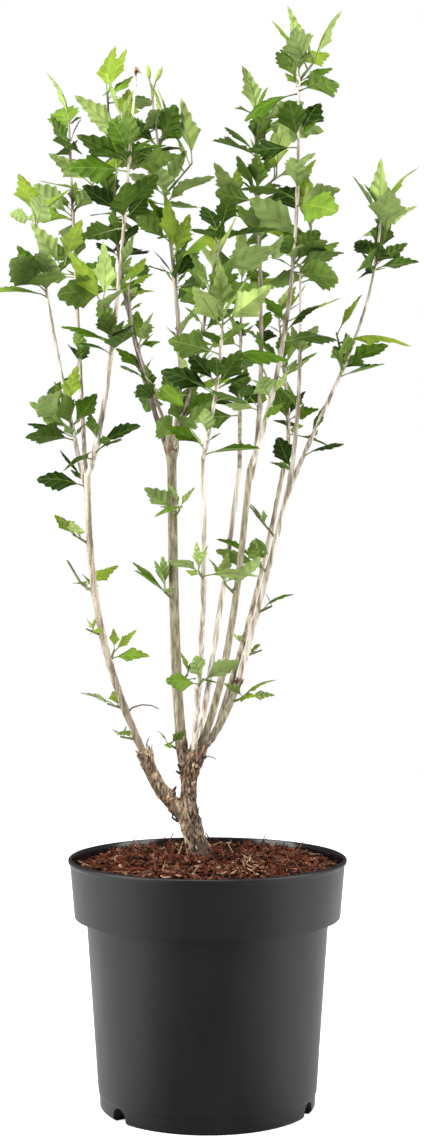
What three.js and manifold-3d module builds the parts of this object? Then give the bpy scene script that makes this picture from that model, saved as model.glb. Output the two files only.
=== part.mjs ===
// A rose of sharon (Hibiscus syriacus) in a round nursery pot, in millimetres, +Z up.
// The origin is the centre of the pot's flat underside. -Y is the front and +X is the right.
// The plant is a short trunk, its pruned boughs and rods, and one mass of foliage on each shoot.
import * as THREE from "three";
import { mergeVertices } from "three/addons/utils/BufferGeometryUtils.js";
import Module from "manifold-3d";

const wasm = await Module();
wasm.setup();

const GAP = 0.3; // between two solids that touch on the real plant
const TAU = 2 * Math.PI;
const GOLDEN_TURN = THREE.MathUtils.degToRad(137.5); // from one leaf round the stem to the next

// Heights are from the ground and radii from the pot's axis.
const POT = {
  rimRadius: 114.9,
  rimTop: 205,
  lipHeight: 3.4,
  lipWidth: 2.8,
  lipEdge: 0.9, // the lip's outer edge is broken by this
  lipRoot: 1.8, // height over which the lip leaves the collar
  collarTopRadius: 113.2,
  collarFootRadius: 109.6,
  collarFoot: 157, // outer edge of the ledge that the collar stands out by
  bodyTopRadius: 99.8,
  bodyTop: 156,
  bodyFootRadius: 90,
  footTop: 14,
  footRadius: 88.6,
  footDraft: 0.4,
  footEdge: 2.3, // the foot's outer edge is broken by this
  step: 1.5, // height over which the foot meets the body
  wall: 2,
  wallRise: 2, // how much higher the inner wall's bends are than the outer wall's
  floorTop: 7,
  floorBevel: 4,
  recess: 4, // how far the underside is raised between its ring and its pad
  recessDraft: 2,
  ringInnerRadius: 68,
  padRadius: 24,
  segments: 28,
};

// The drain notches across the foot's edge, each a level bore.
const NOTCH = { angles: [-23, 97, 217], radius: 8.5, centre: 3.5, length: 34, sides: 14 };

// inset: from the pot's outer side. dome: [share of the collar's radius, share of the rise from edge to top].
const SOIL = {
  top: 206,
  edge: 195,
  edgeInset: 0.6,
  inset: 2.4,
  crownRadius: 16,
  dome: [
    [0.8, 0.55],
    [0.45, 0.88],
  ],
};

// Each limb is a tapering stem from its parent to its tip, bowed sideways by a skewed half wave.
// on: its parent. at: the share of the parent's length where it starts. radius: root and tip.
// swells: [share, extra radius] for the knuckles that pruning leaves. stubs: [share, turn, length, radius].
const LIMBS = {
  trunk: {
    root: [-6, 0, SOIL.top + GAP],
    tip: [-7, 0, 296],
    bow: [-9.5, 0],
    skew: 1,
    radius: [9.2, 5.2],
    flare: { radius: 2.2, height: 9 },
    swells: [
      [0.3, 1],
      [0.93, 2.6],
    ],
    stubs: [
      [0.24, 200, 13, 3],
      [0.74, 165, 11.5, 3],
      [0.84, 10, 12, 3.4],
    ],
    sides: 10,
  },
  left_bough: {
    on: "trunk",
    at: 0.32,
    tip: [-52, -4, 293],
    bow: [-7, 0],
    skew: 1,
    radius: [6.6, 5.2],
    swells: [[0.97, 1]],
    stubs: [[0.36, -50, 8, 2.8]],
    sides: 8,
  },
  left_rod: {
    on: "left_bough",
    at: 0.88,
    tip: [-98, -25, 519],
    bow: [-15, 0],
    skew: 0.9,
    radius: [3, 2.4],
    sides: 6,
  },
  centre_bough: {
    on: "trunk",
    at: 0.62,
    tip: [-30, 10, 553],
    bow: [-5.5, 6],
    skew: 0.6,
    radius: [4.5, 3.9],
    swells: [
      [0.12, 0.8],
      [0.97, 2.6],
    ],
    sides: 8,
  },
  right_inner_bough: {
    on: "trunk",
    at: 0.96,
    tip: [35, -4, 527],
    bow: [9, -6],
    skew: 0.7,
    radius: [3.3, 2.5],
    sides: 8,
  },
  right_outer_bough: {
    on: "trunk",
    at: 0.94,
    tip: [26, 22, 349],
    bow: [5.5, 2],
    skew: 0.7,
    radius: [3.3, 3],
    swells: [[0.98, 0.6]],
    sides: 8,
  },
  right_outer_rod: {
    on: "right_outer_bough",
    at: 0.96,
    tip: [68, 25, 511],
    bow: [1, 4],
    skew: 0.8,
    radius: [2.4, 2],
    sides: 6,
  },
  right_back_rod: {
    on: "right_outer_bough",
    at: 0.3,
    tip: [68, 60, 544],
    bow: [5, 12],
    skew: 1,
    radius: [2.3, 1.8],
    sides: 6,
  },
  middle_rod: {
    on: "trunk",
    at: 0.82,
    tip: [-4, -50, 530],
    bow: [4, -10],
    skew: 1.2,
    radius: [2.6, 1.9],
    sides: 6,
  },
  back_rod: {
    on: "trunk",
    at: 0.97,
    tip: [27, 34, 526],
    bow: [1, 8],
    skew: 1,
    radius: [2.4, 1.9],
    sides: 6,
  },
};

// Each shoot carries one mass of foliage. nodes: [share of the shoot's length, leaves there].
const SHOOTS = {
  left_front_foliage: {
    on: "left_rod",
    at: 1,
    tip: [-57, -56, 842],
    bow: [8, -8],
    skew: 0.6,
    radius: [2.2, 0.9],
    nodes: [
      [0.07, 4],
      [0.33, 7],
      [0.49, 5],
      [0.64, 5],
      [0.78, 7],
    ],
    seed: 222,
  },
  left_outer_foliage: {
    on: "left_rod",
    at: 0.94,
    tip: [-143, -5, 733],
    bow: [-3, 6],
    skew: 0.8,
    radius: [2, 0.9],
    nodes: [
      [0.05, 5],
      [0.23, 7],
      [0.75, 8],
      [1, 3],
    ],
    seed: 335,
  },
  left_back_foliage: {
    on: "left_rod",
    at: 0.88,
    tip: [-119, 62, 826],
    bow: [-2, 20],
    skew: 0.7,
    radius: [2, 0.9],
    nodes: [
      [0.37, 3],
      [0.62, 5],
      [0.76, 6],
      [0.92, 5],
      [1, 2],
    ],
    seed: 443,
  },
  centre_left_foliage: {
    on: "centre_bough",
    at: 0.93,
    tip: [-86, 66, 852],
    bow: [-15, 16],
    skew: 0.9,
    radius: [2.2, 0.9],
    nodes: [
      [0.22, 3],
      [0.42, 4],
      [0.56, 5],
      [0.68, 6],
      [0.84, 7],
      [1, 3],
    ],
    seed: 250,
  },
  centre_low_foliage: {
    on: "centre_bough",
    at: 0.98,
    tip: [-64, -34, 672],
    bow: [-6, -8],
    skew: 1.4,
    radius: [1.6, 0.8],
    nodes: [
      [0.3, 4],
      [0.62, 3],
      [1, 5],
    ],
    seed: 419,
  },
  centre_tall_foliage: {
    on: "centre_bough",
    at: 1,
    tip: [-46, 16, 834],
    bow: [11, 10],
    skew: 0.6,
    radius: [2.2, 0.8],
    nodes: [
      [0.07, 5],
      [0.3, 3],
      [0.47, 6],
      [0.6, 5],
      [0.72, 6],
      [0.86, 7],
    ],
    seed: 84,
  },
  centre_front_foliage: {
    on: "centre_bough",
    at: 0.95,
    tip: [12, -66, 722],
    bow: [4, -14],
    skew: 0.7,
    radius: [2, 0.9],
    nodes: [
      [0.12, 5],
      [0.3, 5],
      [0.52, 3],
      [0.68, 6],
      [0.92, 5],
    ],
    seed: 459,
  },
  middle_foliage: {
    on: "middle_rod",
    at: 1,
    tip: [12, -96, 640],
    bow: [3, -8],
    skew: 1,
    radius: [1.8, 0.8],
    nodes: [
      [0.12, 3],
      [0.5, 5],
      [0.78, 4],
      [1, 5],
    ],
    seed: 491,
  },
  right_tall_foliage: {
    on: "right_inner_bough",
    at: 1,
    tip: [74, -26, 863],
    bow: [16, -6],
    skew: 0.8,
    radius: [2.2, 0.9],
    nodes: [
      [0.17, 3],
      [0.33, 3],
      [0.5, 6],
      [0.66, 4],
      [0.8, 4],
      [0.93, 7],
      [1, 3],
    ],
    seed: 158,
  },
  right_centre_foliage: {
    on: "right_inner_bough",
    at: 0.95,
    tip: [40, 44, 826],
    bow: [9, 12],
    skew: 0.6,
    radius: [2.2, 0.9],
    nodes: [
      [0.2, 3],
      [0.37, 3],
      [0.55, 4],
      [0.66, 6],
      [0.78, 7],
      [0.9, 6],
      [1, 4],
    ],
    seed: 91,
  },
  back_foliage: {
    on: "back_rod",
    at: 1,
    tip: [30, 112, 690],
    bow: [0, 16],
    skew: 1,
    radius: [1.9, 0.9],
    nodes: [
      [0.35, 5],
      [0.7, 4],
      [1, 5],
    ],
    seed: 82,
  },
  right_middle_foliage: {
    on: "right_outer_rod",
    at: 1,
    tip: [77, 10, 690],
    bow: [4, -4],
    skew: 0.8,
    radius: [2, 0.9],
    nodes: [
      [0.05, 5],
      [0.34, 4],
      [0.6, 4],
      [1, 6],
    ],
    seed: 275,
  },
  right_back_foliage: {
    on: "right_back_rod",
    at: 1,
    tip: [62, 92, 662],
    bow: [3, 6],
    skew: 0.6,
    radius: [1.8, 0.8],
    nodes: [
      [0.2, 4],
      [0.6, 5],
      [1, 5],
    ],
    seed: 30,
  },
  right_outer_foliage: {
    on: "right_outer_rod",
    at: 0.93,
    tip: [142, -15, 732],
    bow: [13, 4],
    skew: 1.5,
    radius: [2, 0.9],
    nodes: [
      [0.2, 2],
      [0.48, 6],
      [0.84, 8],
      [1, 4],
    ],
    seed: 387,
  },
};

// The small sprays on the bare boughs and rods. out: the way the spray leans, in degrees round from +X.
// scale: size of its leaves beside those of the masses.
const SPRAYS = {
  left_rod_spray_1: { on: "left_rod", at: 0.07, out: 200, leaves: 3, scale: 0.55, seed: 23 },
  left_rod_spray_2: { on: "left_rod", at: 0.18, out: 170, leaves: 5, scale: 0.72, seed: 167 },
  left_rod_spray_3: { on: "left_rod", at: 0.34, out: 60, leaves: 3, scale: 0.62, seed: 3 },
  left_rod_spray_4: { on: "left_rod", at: 0.44, out: 200, leaves: 5, scale: 0.76, seed: 484 },
  left_rod_spray_5: { on: "left_rod", at: 0.59, out: 150, leaves: 6, scale: 0.86, seed: 459 },
  left_rod_spray_6: { on: "left_rod", at: 0.76, out: 190, leaves: 6, scale: 0.9, seed: 372 },
  centre_spray_1: { on: "centre_bough", at: 0.1, out: 200, leaves: 3, scale: 0.5, seed: 423 },
  centre_spray_2: { on: "centre_bough", at: 0.29, out: -40, leaves: 3, scale: 0.6, seed: 483 },
  centre_spray_3: { on: "centre_bough", at: 0.53, out: 230, leaves: 4, scale: 0.8, seed: 31 },
  centre_spray_4: { on: "centre_bough", at: 0.76, out: -60, leaves: 4, scale: 0.8, seed: 50 },
  middle_spray_1: { on: "middle_rod", at: 0.27, out: -80, leaves: 4, scale: 0.75, seed: 385 },
  middle_spray_2: { on: "middle_rod", at: 0.62, out: 250, leaves: 4, scale: 0.8, seed: 446 },
  right_inner_spray: { on: "right_inner_bough", at: 0.55, out: 200, leaves: 4, scale: 0.8, seed: 347 },
  right_bough_spray: { on: "right_outer_bough", at: 0.7, out: -20, leaves: 5, scale: 0.7, seed: 257 },
  right_rod_spray_1: { on: "right_outer_rod", at: 0.14, out: 10, leaves: 5, scale: 0.7, seed: 449 },
  right_rod_spray_2: { on: "right_outer_rod", at: 0.36, out: -30, leaves: 5, scale: 0.72, seed: 467 },
  right_rod_spray_3: { on: "right_outer_rod", at: 0.56, out: 210, leaves: 6, scale: 0.8, seed: 41 },
  right_rod_spray_4: { on: "right_outer_rod", at: 0.74, out: 160, leaves: 6, scale: 0.85, seed: 73 },
};
const SPRAY_STEM = { length: 15, spread: 55, radius: [1.3, 0.8] };

const SWELL_WIDTH = 8; // half the length of a knuckle
const STUB = { rise: 0.8, sides: 5 }; // rise: a stub's climb for each millimetre that it stands out
const LIMB_STEP = { length: 16, least: 4 }; // from ring to ring, and the fewest steps of a limb
const SHOOT_STEP = { length: 36, sides: 3 };

// A leaf is a stalk and a three-pointed blade in one: its half outline as [along, out] shares of its length.
const LEAF = {
  halfOutline: [
    [0, 0],
    [0.2, 0.03],
    [0.57, 0.28],
    [1, 0],
  ],
  heart: 0.58, // how far along the blade is thickest
  longest: 60,
  shortest: 40,
  youngShare: 0.62, // size of a rosette's last leaf beside its first
  tipShare: 0.92, // the same at a shoot's tip, where the last leaf stands up tall
  thickness: 1.6,
  fold: 0.04, // how far the midrib lies below the edges, as a share of the length
  droop: 0.16,
  lowLift: 10, // degrees above level of a rosette's first leaf
  highLift: 64,
  liftSpread: 36,
  turnSpread: 50,
  rollSpread: 130,
  tipLift: 20, // more for the young leaves at a shoot's tip
};

// length: the stretch of stem that one rosette's leaves spring from. below: the share of it below the node.
const ROSETTE = { length: 14, below: 0.7, loneAge: 0.5, lowest: 0.25, highest: 0.995 };

// leastLeaves: a node with as many leaves also bears a side twig with a rosette of its own.
const TWIG = {
  leastLeaves: 6,
  leaves: 3,
  length: [21, 39],
  rise: 48,
  riseSpread: 20,
  radius: [1.1, 0.7],
  lowCheck: 0.4, // how far back from its tip its lower check point is
};

// What a leaf or a twig keeps clear of.
const SPACE = {
  apart: 12, // between the middles of two leaves of one mass
  margin: 1.2, // how much nearer its own stem than any other
  limbClearance: 2.5,
  stemClearance: 4,
  soilClearance: 8,
  top: 902,
  sides: [-167, 174], // the crown's reach to the left and to the right
  tries: 10, // places tried for a leaf or a twig before it is skipped
  nextTurn: 1.3, // radians round the stem from one try to the next
  lineSteps: 12, // straight pieces that stand for a stem when distances are measured
};

// --- Solids

// The manifold-3d solid of a three.js geometry.
function solidOf(geometry) {
  const bare = geometry.clone();
  bare.deleteAttribute("normal");
  bare.deleteAttribute("uv");
  const merged = mergeVertices(bare, 1e-4);
  return new wasm.Manifold(
    new wasm.Mesh({
      numProp: 3,
      vertProperties: new Float32Array(merged.attributes.position.array),
      triVerts: new Uint32Array(merged.index.array),
    }),
  );
}

function geometryOf(solid) {
  const mesh = solid.getMesh();
  const geometry = new THREE.BufferGeometry();
  geometry.setAttribute("position", new THREE.BufferAttribute(mesh.vertProperties, 3));
  geometry.setIndex(new THREE.BufferAttribute(mesh.triVerts, 1));
  const flat = geometry.toNonIndexed();
  flat.computeVertexNormals();
  return flat;
}

// The largest body of a solid, with its loose scraps dropped and its sealed hollows filled.
function mainBody(solid) {
  return solid.decompose().reduce((a, b) => (b.volume() > a.volume() ? b : a));
}

function meshOf(name, solid, material) {
  const mesh = new THREE.Mesh(geometryOf(solid), material);
  mesh.name = name;
  return mesh;
}

// --- Chance: the same seed always gives the same run of numbers from 0 to 1

function seededDraw(seed) {
  let state = (seed * 2654435761) >>> 0;
  return () => {
    state = (Math.imul(state, 1664525) + 1013904223) >>> 0;
    return state / 4294967296;
  };
}

// --- Stems

class BowedLine extends THREE.Curve {
  constructor(root, tip, bow, skew) {
    super();
    Object.assign(this, { root, tip, skew });
    this.bow = new THREE.Vector3(bow[0], bow[1], 0);
  }
  getPoint(t, target = new THREE.Vector3()) {
    const swell = Math.sin(Math.PI * Math.max(t, 0) ** this.skew);
    return target.lerpVectors(this.root, this.tip, t).addScaledVector(this.bow, swell);
  }
  heading(t) {
    const step = 0.01;
    return this.getPoint(t + step).sub(this.getPoint(t - step)).normalize();
  }
  get span() {
    return this.root.distanceTo(this.tip);
  }
}

// Two directions square to a heading and to each other.
function squareTo(heading) {
  const steep = Math.abs(heading.z) > 0.7;
  const across = steep ? new THREE.Vector3(0, 1, 0) : new THREE.Vector3(0, 0, 1);
  const side = new THREE.Vector3().crossVectors(heading, across).normalize();
  return [side, new THREE.Vector3().crossVectors(side, heading)];
}

// A closed tapering tube: a cylinder whose rings are laid along a line, the first one level if asked.
function tubeAlong(line, radiusAt, sides, steps, { reach = 1, levelRoot = false } = {}) {
  const tube = new THREE.CylinderGeometry(1, 1, 1, sides, steps);
  const places = tube.attributes.position;
  for (let i = 0; i < places.count; i++) {
    const t = (places.getY(i) + 0.5) * reach;
    const heading = levelRoot && t < 1e-6 ? new THREE.Vector3(0, 0, 1) : line.heading(t);
    const [side, front] = squareTo(heading);
    const point = line.getPoint(t);
    point.addScaledVector(side, places.getX(i) * radiusAt(t));
    point.addScaledVector(front, places.getZ(i) * radiusAt(t));
    places.setXYZ(i, point.x, point.y, point.z);
  }
  return tube;
}

const lines = {}; // the centre line of each limb, shoot and spray, by name

// A limb's radius at a share of its length.
function limbRadius(limb, length) {
  return (t) => {
    let radius = THREE.MathUtils.lerp(...limb.radius, Math.min(t, 1));
    if (limb.flare) radius += limb.flare.radius * Math.exp((-t * length) / limb.flare.height);
    for (const [share, extra] of limb.swells ?? [])
      radius += extra * Math.exp(-((((t - share) * length) / SWELL_WIDTH) ** 2));
    return radius;
  };
}

// A limb's solid, made larger all round by extra.
function limbSolid(name, extra = 0) {
  const limb = LIMBS[name];
  const line = lines[name];
  const radiusAt = limbRadius(limb, line.span);
  const steps = Math.max(LIMB_STEP.least, Math.round(line.span / LIMB_STEP.length));
  const ends = { reach: 1 + extra / line.span, levelRoot: !limb.on };
  let solid = solidOf(tubeAlong(line, (t) => radiusAt(t) + extra, limb.sides, steps, ends));
  for (const [share, turn, stubLength, radius] of limb.stubs ?? []) {
    const angle = THREE.MathUtils.degToRad(turn);
    const start = line.getPoint(share);
    const out = new THREE.Vector3(Math.cos(angle), Math.sin(angle), STUB.rise).normalize();
    const end = start.clone().addScaledVector(out, stubLength + extra);
    const stub = new BowedLine(start, end, [0, 0], 1);
    solid = solid.add(solidOf(tubeAlong(stub, () => radius + extra, STUB.sides, 1)));
  }
  return solid;
}

function placeLines() {
  for (const [name, stem] of Object.entries({ ...LIMBS, ...SHOOTS })) {
    const root = stem.on ? lines[stem.on].getPoint(stem.at) : new THREE.Vector3(...stem.root);
    lines[name] = new BowedLine(root, new THREE.Vector3(...stem.tip), stem.bow, stem.skew);
  }
  for (const [name, spray] of Object.entries(SPRAYS)) {
    const root = lines[spray.on].getPoint(spray.at);
    const angle = THREE.MathUtils.degToRad(spray.out);
    const spread = THREE.MathUtils.degToRad(SPRAY_STEM.spread);
    const along = lines[spray.on].heading(spray.at);
    const out = new THREE.Vector3(Math.cos(angle), Math.sin(angle), 0).projectOnPlane(along).normalize();
    const tip = root.clone().addScaledVector(along, Math.cos(spread) * SPRAY_STEM.length);
    tip.addScaledVector(out, Math.sin(spread) * SPRAY_STEM.length);
    lines[name] = new BowedLine(root, tip, [0, 0], 1);
  }
}

// --- The space of each mass of foliage

const tracks = {}; // each line as a row of points, for measuring distances

function layTracks() {
  for (const [name, line] of Object.entries(lines))
    tracks[name] = Array.from({ length: SPACE.lineSteps + 1 }, (_, i) => line.getPoint(i / SPACE.lineSteps));
}

const nearest = new THREE.Vector3();
const segment = new THREE.Line3();

function distanceTo(name, point) {
  let least = Infinity;
  for (let i = 0; i < SPACE.lineSteps; i++) {
    segment.set(tracks[name][i], tracks[name][i + 1]);
    segment.closestPointToPoint(point, true, nearest);
    least = Math.min(least, nearest.distanceTo(point));
  }
  return least;
}

// True where every point is nearer its own stem than any other, clear of the limbs and above the soil.
function inOwnSpace(owner, points) {
  return points.every((point) => {
    if (point.z < POT.rimTop + SPACE.soilClearance || point.z > SPACE.top) return false;
    if (point.x < SPACE.sides[0] || point.x > SPACE.sides[1]) return false;
    const own = distanceTo(owner, point) + SPACE.margin;
    return Object.keys(lines).every((name) => {
      if (name === owner) return true;
      const away = distanceTo(name, point);
      if (name in LIMBS) return away > LIMBS[name].radius[0] + SPACE.limbClearance;
      return away > Math.max(own, SPACE.stemClearance);
    });
  });
}

// --- Leaves

const leafOutline = [
  ...LEAF.halfOutline,
  ...LEAF.halfOutline.slice(1, -1).reverse().map(([along, out]) => [along, -out]),
];

// A leaf from its stalk's root, as a double pyramid over its outline, folded at the midrib and drooping.
function leafGeometry({ root, heading, face, length }) {
  const side = new THREE.Vector3().crossVectors(heading, face);
  const leaf = new THREE.SphereGeometry(1, leafOutline.length, 2);
  const places = leaf.attributes.position;
  const columns = leafOutline.length;
  for (let i = 0; i < places.count; i++) {
    const pole = places.getY(i);
    const column = Math.round(leaf.attributes.uv.getX(i) * columns) % columns;
    const middle = Math.abs(pole) > 0.5;
    const [along, out] = middle ? [LEAF.heart, 0] : leafOutline[column];
    let up = -LEAF.droop * along * along * length;
    if (middle) up += (Math.sign(pole) * LEAF.thickness) / 2 - LEAF.fold * length;
    const point = root.clone().addScaledVector(heading, along * length);
    point.addScaledVector(side, out * length).addScaledVector(face, up);
    places.setXYZ(i, point.x, point.y, point.z);
  }
  return leaf;
}

function leafCheckPoints({ root, heading, face, length }) {
  const side = new THREE.Vector3().crossVectors(heading, face);
  const places = [...leafOutline.slice(1), [LEAF.heart, 0]];
  return places.map(([along, out]) =>
    root
      .clone()
      .addScaledVector(heading, along * length)
      .addScaledVector(side, out * length)
      .addScaledVector(face, -LEAF.droop * along * along * length),
  );
}

// One leaf: turn is its angle round the stem and age runs from 0, low and large, to 1, upright and small.
function drawLeaf(draw, root, turn, age, { scale, extraLift, lastShare }) {
  const spread = (degrees) => THREE.MathUtils.degToRad(degrees) * (draw() - 0.5);
  const azimuth = turn + spread(LEAF.turnSpread);
  const midLift = THREE.MathUtils.degToRad(THREE.MathUtils.lerp(LEAF.lowLift, LEAF.highLift, age));
  const lift = midLift + spread(LEAF.liftSpread) + THREE.MathUtils.degToRad(extraLift);
  const size = THREE.MathUtils.lerp(LEAF.longest, LEAF.shortest, draw());
  const roll = spread(LEAF.rollSpread);
  const length = scale * size * THREE.MathUtils.lerp(1, lastShare, age);
  const heading = new THREE.Vector3(
    Math.cos(azimuth) * Math.cos(lift),
    Math.sin(azimuth) * Math.cos(lift),
    Math.sin(lift),
  );
  const level = new THREE.Vector3(-Math.sin(azimuth), Math.cos(azimuth), 0);
  const face = new THREE.Vector3().crossVectors(heading, level).applyAxisAngle(heading, roll);
  return { root, heading, face, length };
}

// Where the middle of a leaf's blade is.
const heartOf = ({ root, heading, length }) => root.clone().addScaledVector(heading, LEAF.heart * length);

function crowds(leaf, leaves) {
  const heart = heartOf(leaf);
  return leaves.some((other) => heartOf(other).distanceTo(heart) < SPACE.apart);
}

// A rosette of leaves spaced by the golden turn along a short stretch of a stem, added to a mass's leaves.
function addRosette(leaves, draw, owner, line, share, count) {
  const stretch = ROSETTE.length / line.span;
  const firstTurn = draw() * TAU;
  const habit = {
    scale: SPRAYS[owner]?.scale ?? 1,
    extraLift: share === 1 ? LEAF.tipLift : 0,
    lastShare: share === 1 && owner in SHOOTS ? LEAF.tipShare : LEAF.youngShare,
  };
  for (let i = 0; i < count; i++) {
    const age = count > 1 ? i / (count - 1) : ROSETTE.loneAge;
    const place = Math.min(share + (age - ROSETTE.below) * stretch, ROSETTE.highest);
    const root = line.getPoint(Math.max(place, ROSETTE.lowest * stretch));
    for (let attempt = 0; attempt < SPACE.tries; attempt++) {
      const turn = firstTurn + i * GOLDEN_TURN + attempt * SPACE.nextTurn;
      const leaf = drawLeaf(draw, root, turn, age, habit);
      if (crowds(leaf, leaves) || !inOwnSpace(owner, leafCheckPoints(leaf))) continue;
      leaves.push(leaf);
      break;
    }
  }
}

// A side twig from a node, with a small rosette at its end, or null where it has no room.
function sideTwig(draw, owner, line, share) {
  for (let attempt = 0; attempt < SPACE.tries; attempt++) {
    const angle = draw() * TAU;
    const rise = THREE.MathUtils.degToRad(TWIG.rise + TWIG.riseSpread * (draw() - 0.5));
    const length = THREE.MathUtils.lerp(...TWIG.length, draw());
    const root = line.getPoint(share);
    const out = new THREE.Vector3(
      Math.cos(angle) * Math.cos(rise),
      Math.sin(angle) * Math.cos(rise),
      Math.sin(rise),
    );
    const tip = root.clone().addScaledVector(out, length);
    const checked = [tip, tip.clone().lerp(root, TWIG.lowCheck)];
    if (inOwnSpace(owner, checked)) return new BowedLine(root, tip, [0, 0], 1);
  }
  return null;
}

// The stem of a mass of foliage, made larger all round by extra.
function shootStem(name, extra = 0) {
  const line = lines[name];
  const radius = (SHOOTS[name] ?? SPRAY_STEM).radius;
  const steps = Math.max(1, Math.round(line.span / SHOOT_STEP.length));
  return tubeAlong(line, (t) => THREE.MathUtils.lerp(...radius, t) + extra, SHOOT_STEP.sides, steps);
}

// A mass of foliage: its stem, its side twigs and its leaves, fused.
function foliageSolid(name, seed, nodes) {
  const draw = seededDraw(seed);
  const line = lines[name];
  const pieces = [shootStem(name)];
  const leaves = [];
  for (const [share, count] of nodes) {
    addRosette(leaves, draw, name, line, share, count);
    const twig = count >= TWIG.leastLeaves ? sideTwig(draw, name, line, share) : null;
    if (!twig) continue;
    pieces.push(tubeAlong(twig, (t) => THREE.MathUtils.lerp(...TWIG.radius, t), SHOOT_STEP.sides, 1));
    addRosette(leaves, draw, name, twig, 1, TWIG.leaves);
  }
  pieces.push(...leaves.map(leafGeometry));
  return pieces.map(solidOf).reduce((all, piece) => all.add(piece));
}

// --- Pot and soil

function lathed(profile) {
  const points = profile.map(([radius, height]) => new THREE.Vector2(radius, height));
  return new THREE.LatheGeometry(points, POT.segments).rotateX(Math.PI / 2);
}

function potSolid() {
  const { wall, wallRise } = POT;
  const lipFoot = POT.rimTop - POT.lipHeight;
  let pot = solidOf(
    lathed([
      [0, 0],
      [POT.padRadius, 0],
      [POT.padRadius + POT.recessDraft, POT.recess],
      [POT.ringInnerRadius - POT.recessDraft, POT.recess],
      [POT.ringInnerRadius, 0],
      [POT.footRadius - POT.footEdge, 0],
      [POT.footRadius, POT.footEdge],
      [POT.footRadius + POT.footDraft, POT.footTop - POT.step],
      [POT.bodyFootRadius, POT.footTop],
      [POT.bodyTopRadius, POT.bodyTop],
      [POT.collarFootRadius, POT.collarFoot],
      [POT.collarTopRadius, lipFoot - POT.lipRoot],
      [POT.rimRadius, lipFoot],
      [POT.rimRadius, POT.rimTop - POT.lipEdge],
      [POT.rimRadius - POT.lipEdge, POT.rimTop],
      [POT.rimRadius - POT.lipWidth, POT.rimTop],
      [POT.collarTopRadius - wall, lipFoot],
      [POT.collarFootRadius - wall, POT.collarFoot + wallRise],
      [POT.bodyTopRadius - wall, POT.bodyTop + wallRise],
      [POT.bodyFootRadius - wall, POT.footTop],
      [POT.bodyFootRadius - wall - POT.floorBevel, POT.floorTop],
      [0, POT.floorTop],
    ]),
  );
  for (const angle of NOTCH.angles) {
    const notch = new THREE.CylinderGeometry(NOTCH.radius, NOTCH.radius, NOTCH.length, NOTCH.sides);
    notch.rotateZ(Math.PI / 2).translate(POT.footRadius, 0, NOTCH.centre);
    notch.rotateZ(THREE.MathUtils.degToRad(angle));
    pot = pot.subtract(solidOf(notch));
  }
  return pot;
}

// The growing medium fills the pot and rises a little round the trunk.
function soilSolid() {
  const { inset } = SOIL;
  const { wallRise } = POT;
  const domed = ([out, up]) => [POT.collarTopRadius * out, THREE.MathUtils.lerp(SOIL.edge, SOIL.top, up)];
  return solidOf(
    lathed([
      [0, POT.floorTop + GAP],
      [POT.bodyFootRadius - inset - POT.floorBevel, POT.floorTop + GAP],
      [POT.bodyFootRadius - inset, POT.footTop + GAP],
      [POT.bodyTopRadius - inset, POT.bodyTop + wallRise + GAP],
      [POT.collarFootRadius - inset, POT.collarFoot + wallRise + 2 * GAP],
      [POT.collarTopRadius - inset - SOIL.edgeInset, SOIL.edge],
      ...SOIL.dome.map(domed),
      [SOIL.crownRadius, SOIL.top],
      [0, SOIL.top],
    ]),
  );
}

// --- The whole plant

const materials = {
  pot: new THREE.MeshStandardMaterial({ color: 0x2b2c2e, roughness: 0.45, metalness: 0 }),
  soil: new THREE.MeshStandardMaterial({ color: 0x6e3420, roughness: 0.95, metalness: 0 }),
  bark: new THREE.MeshStandardMaterial({ color: 0x9b8468, roughness: 0.9, metalness: 0 }),
  foliage: new THREE.MeshStandardMaterial({ color: 0x4d8528, roughness: 0.6, metalness: 0 }),
};

// What earlier solids, each a gap larger all round, leave of a solid, so its root is cut to its parent.
function clearOf(solid, earlier) {
  const box = solid.boundingBox();
  const touches = (other) =>
    other.boundingBox().min.every((low, i) => low < box.max[i]) &&
    other.boundingBox().max.every((high, i) => high > box.min[i]);
  const cut = earlier.filter(touches).reduce((left, other) => left.subtract(other), solid);
  return mainBody(cut);
}

function buildPlant() {
  const plant = new THREE.Group();
  plant.name = "rose_of_sharon";
  plant.add(meshOf("pot", potSolid(), materials.pot));
  plant.add(meshOf("potting_soil", soilSolid(), materials.soil));
  placeLines();
  layTracks();
  const grown = [];
  for (const name of Object.keys(LIMBS)) {
    plant.add(meshOf(name, clearOf(limbSolid(name), grown), materials.bark));
    grown.push(limbSolid(name, GAP));
  }
  for (const [name, stem] of Object.entries({ ...SHOOTS, ...SPRAYS })) {
    const nodes = stem.nodes ?? [[1, stem.leaves]];
    const whole = foliageSolid(name, stem.seed, nodes);
    plant.add(meshOf(name, clearOf(whole, grown), materials.foliage));
    grown.push(solidOf(shootStem(name, GAP)));
  }
  return plant;
}

export default buildPlant();
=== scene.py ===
# %% [markdown]
# # A rose of sharon in its nursery pot
# A rose of sharon (Hibiscus syriacus) is a garden shrub with many upright stems on one short trunk.
# This one was cut back hard while young, so its base is knobby and the last year's shoots carry the leaves.
# The solid model already gives every place and size. The lesson dresses it with bark, leaves, bark mulch
# and a smooth moulded pot, all in metres and in the solid model's own frame.

import math

import bmesh
import bpy
import numpy as np
from mathutils import Matrix, Vector, noise


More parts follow.
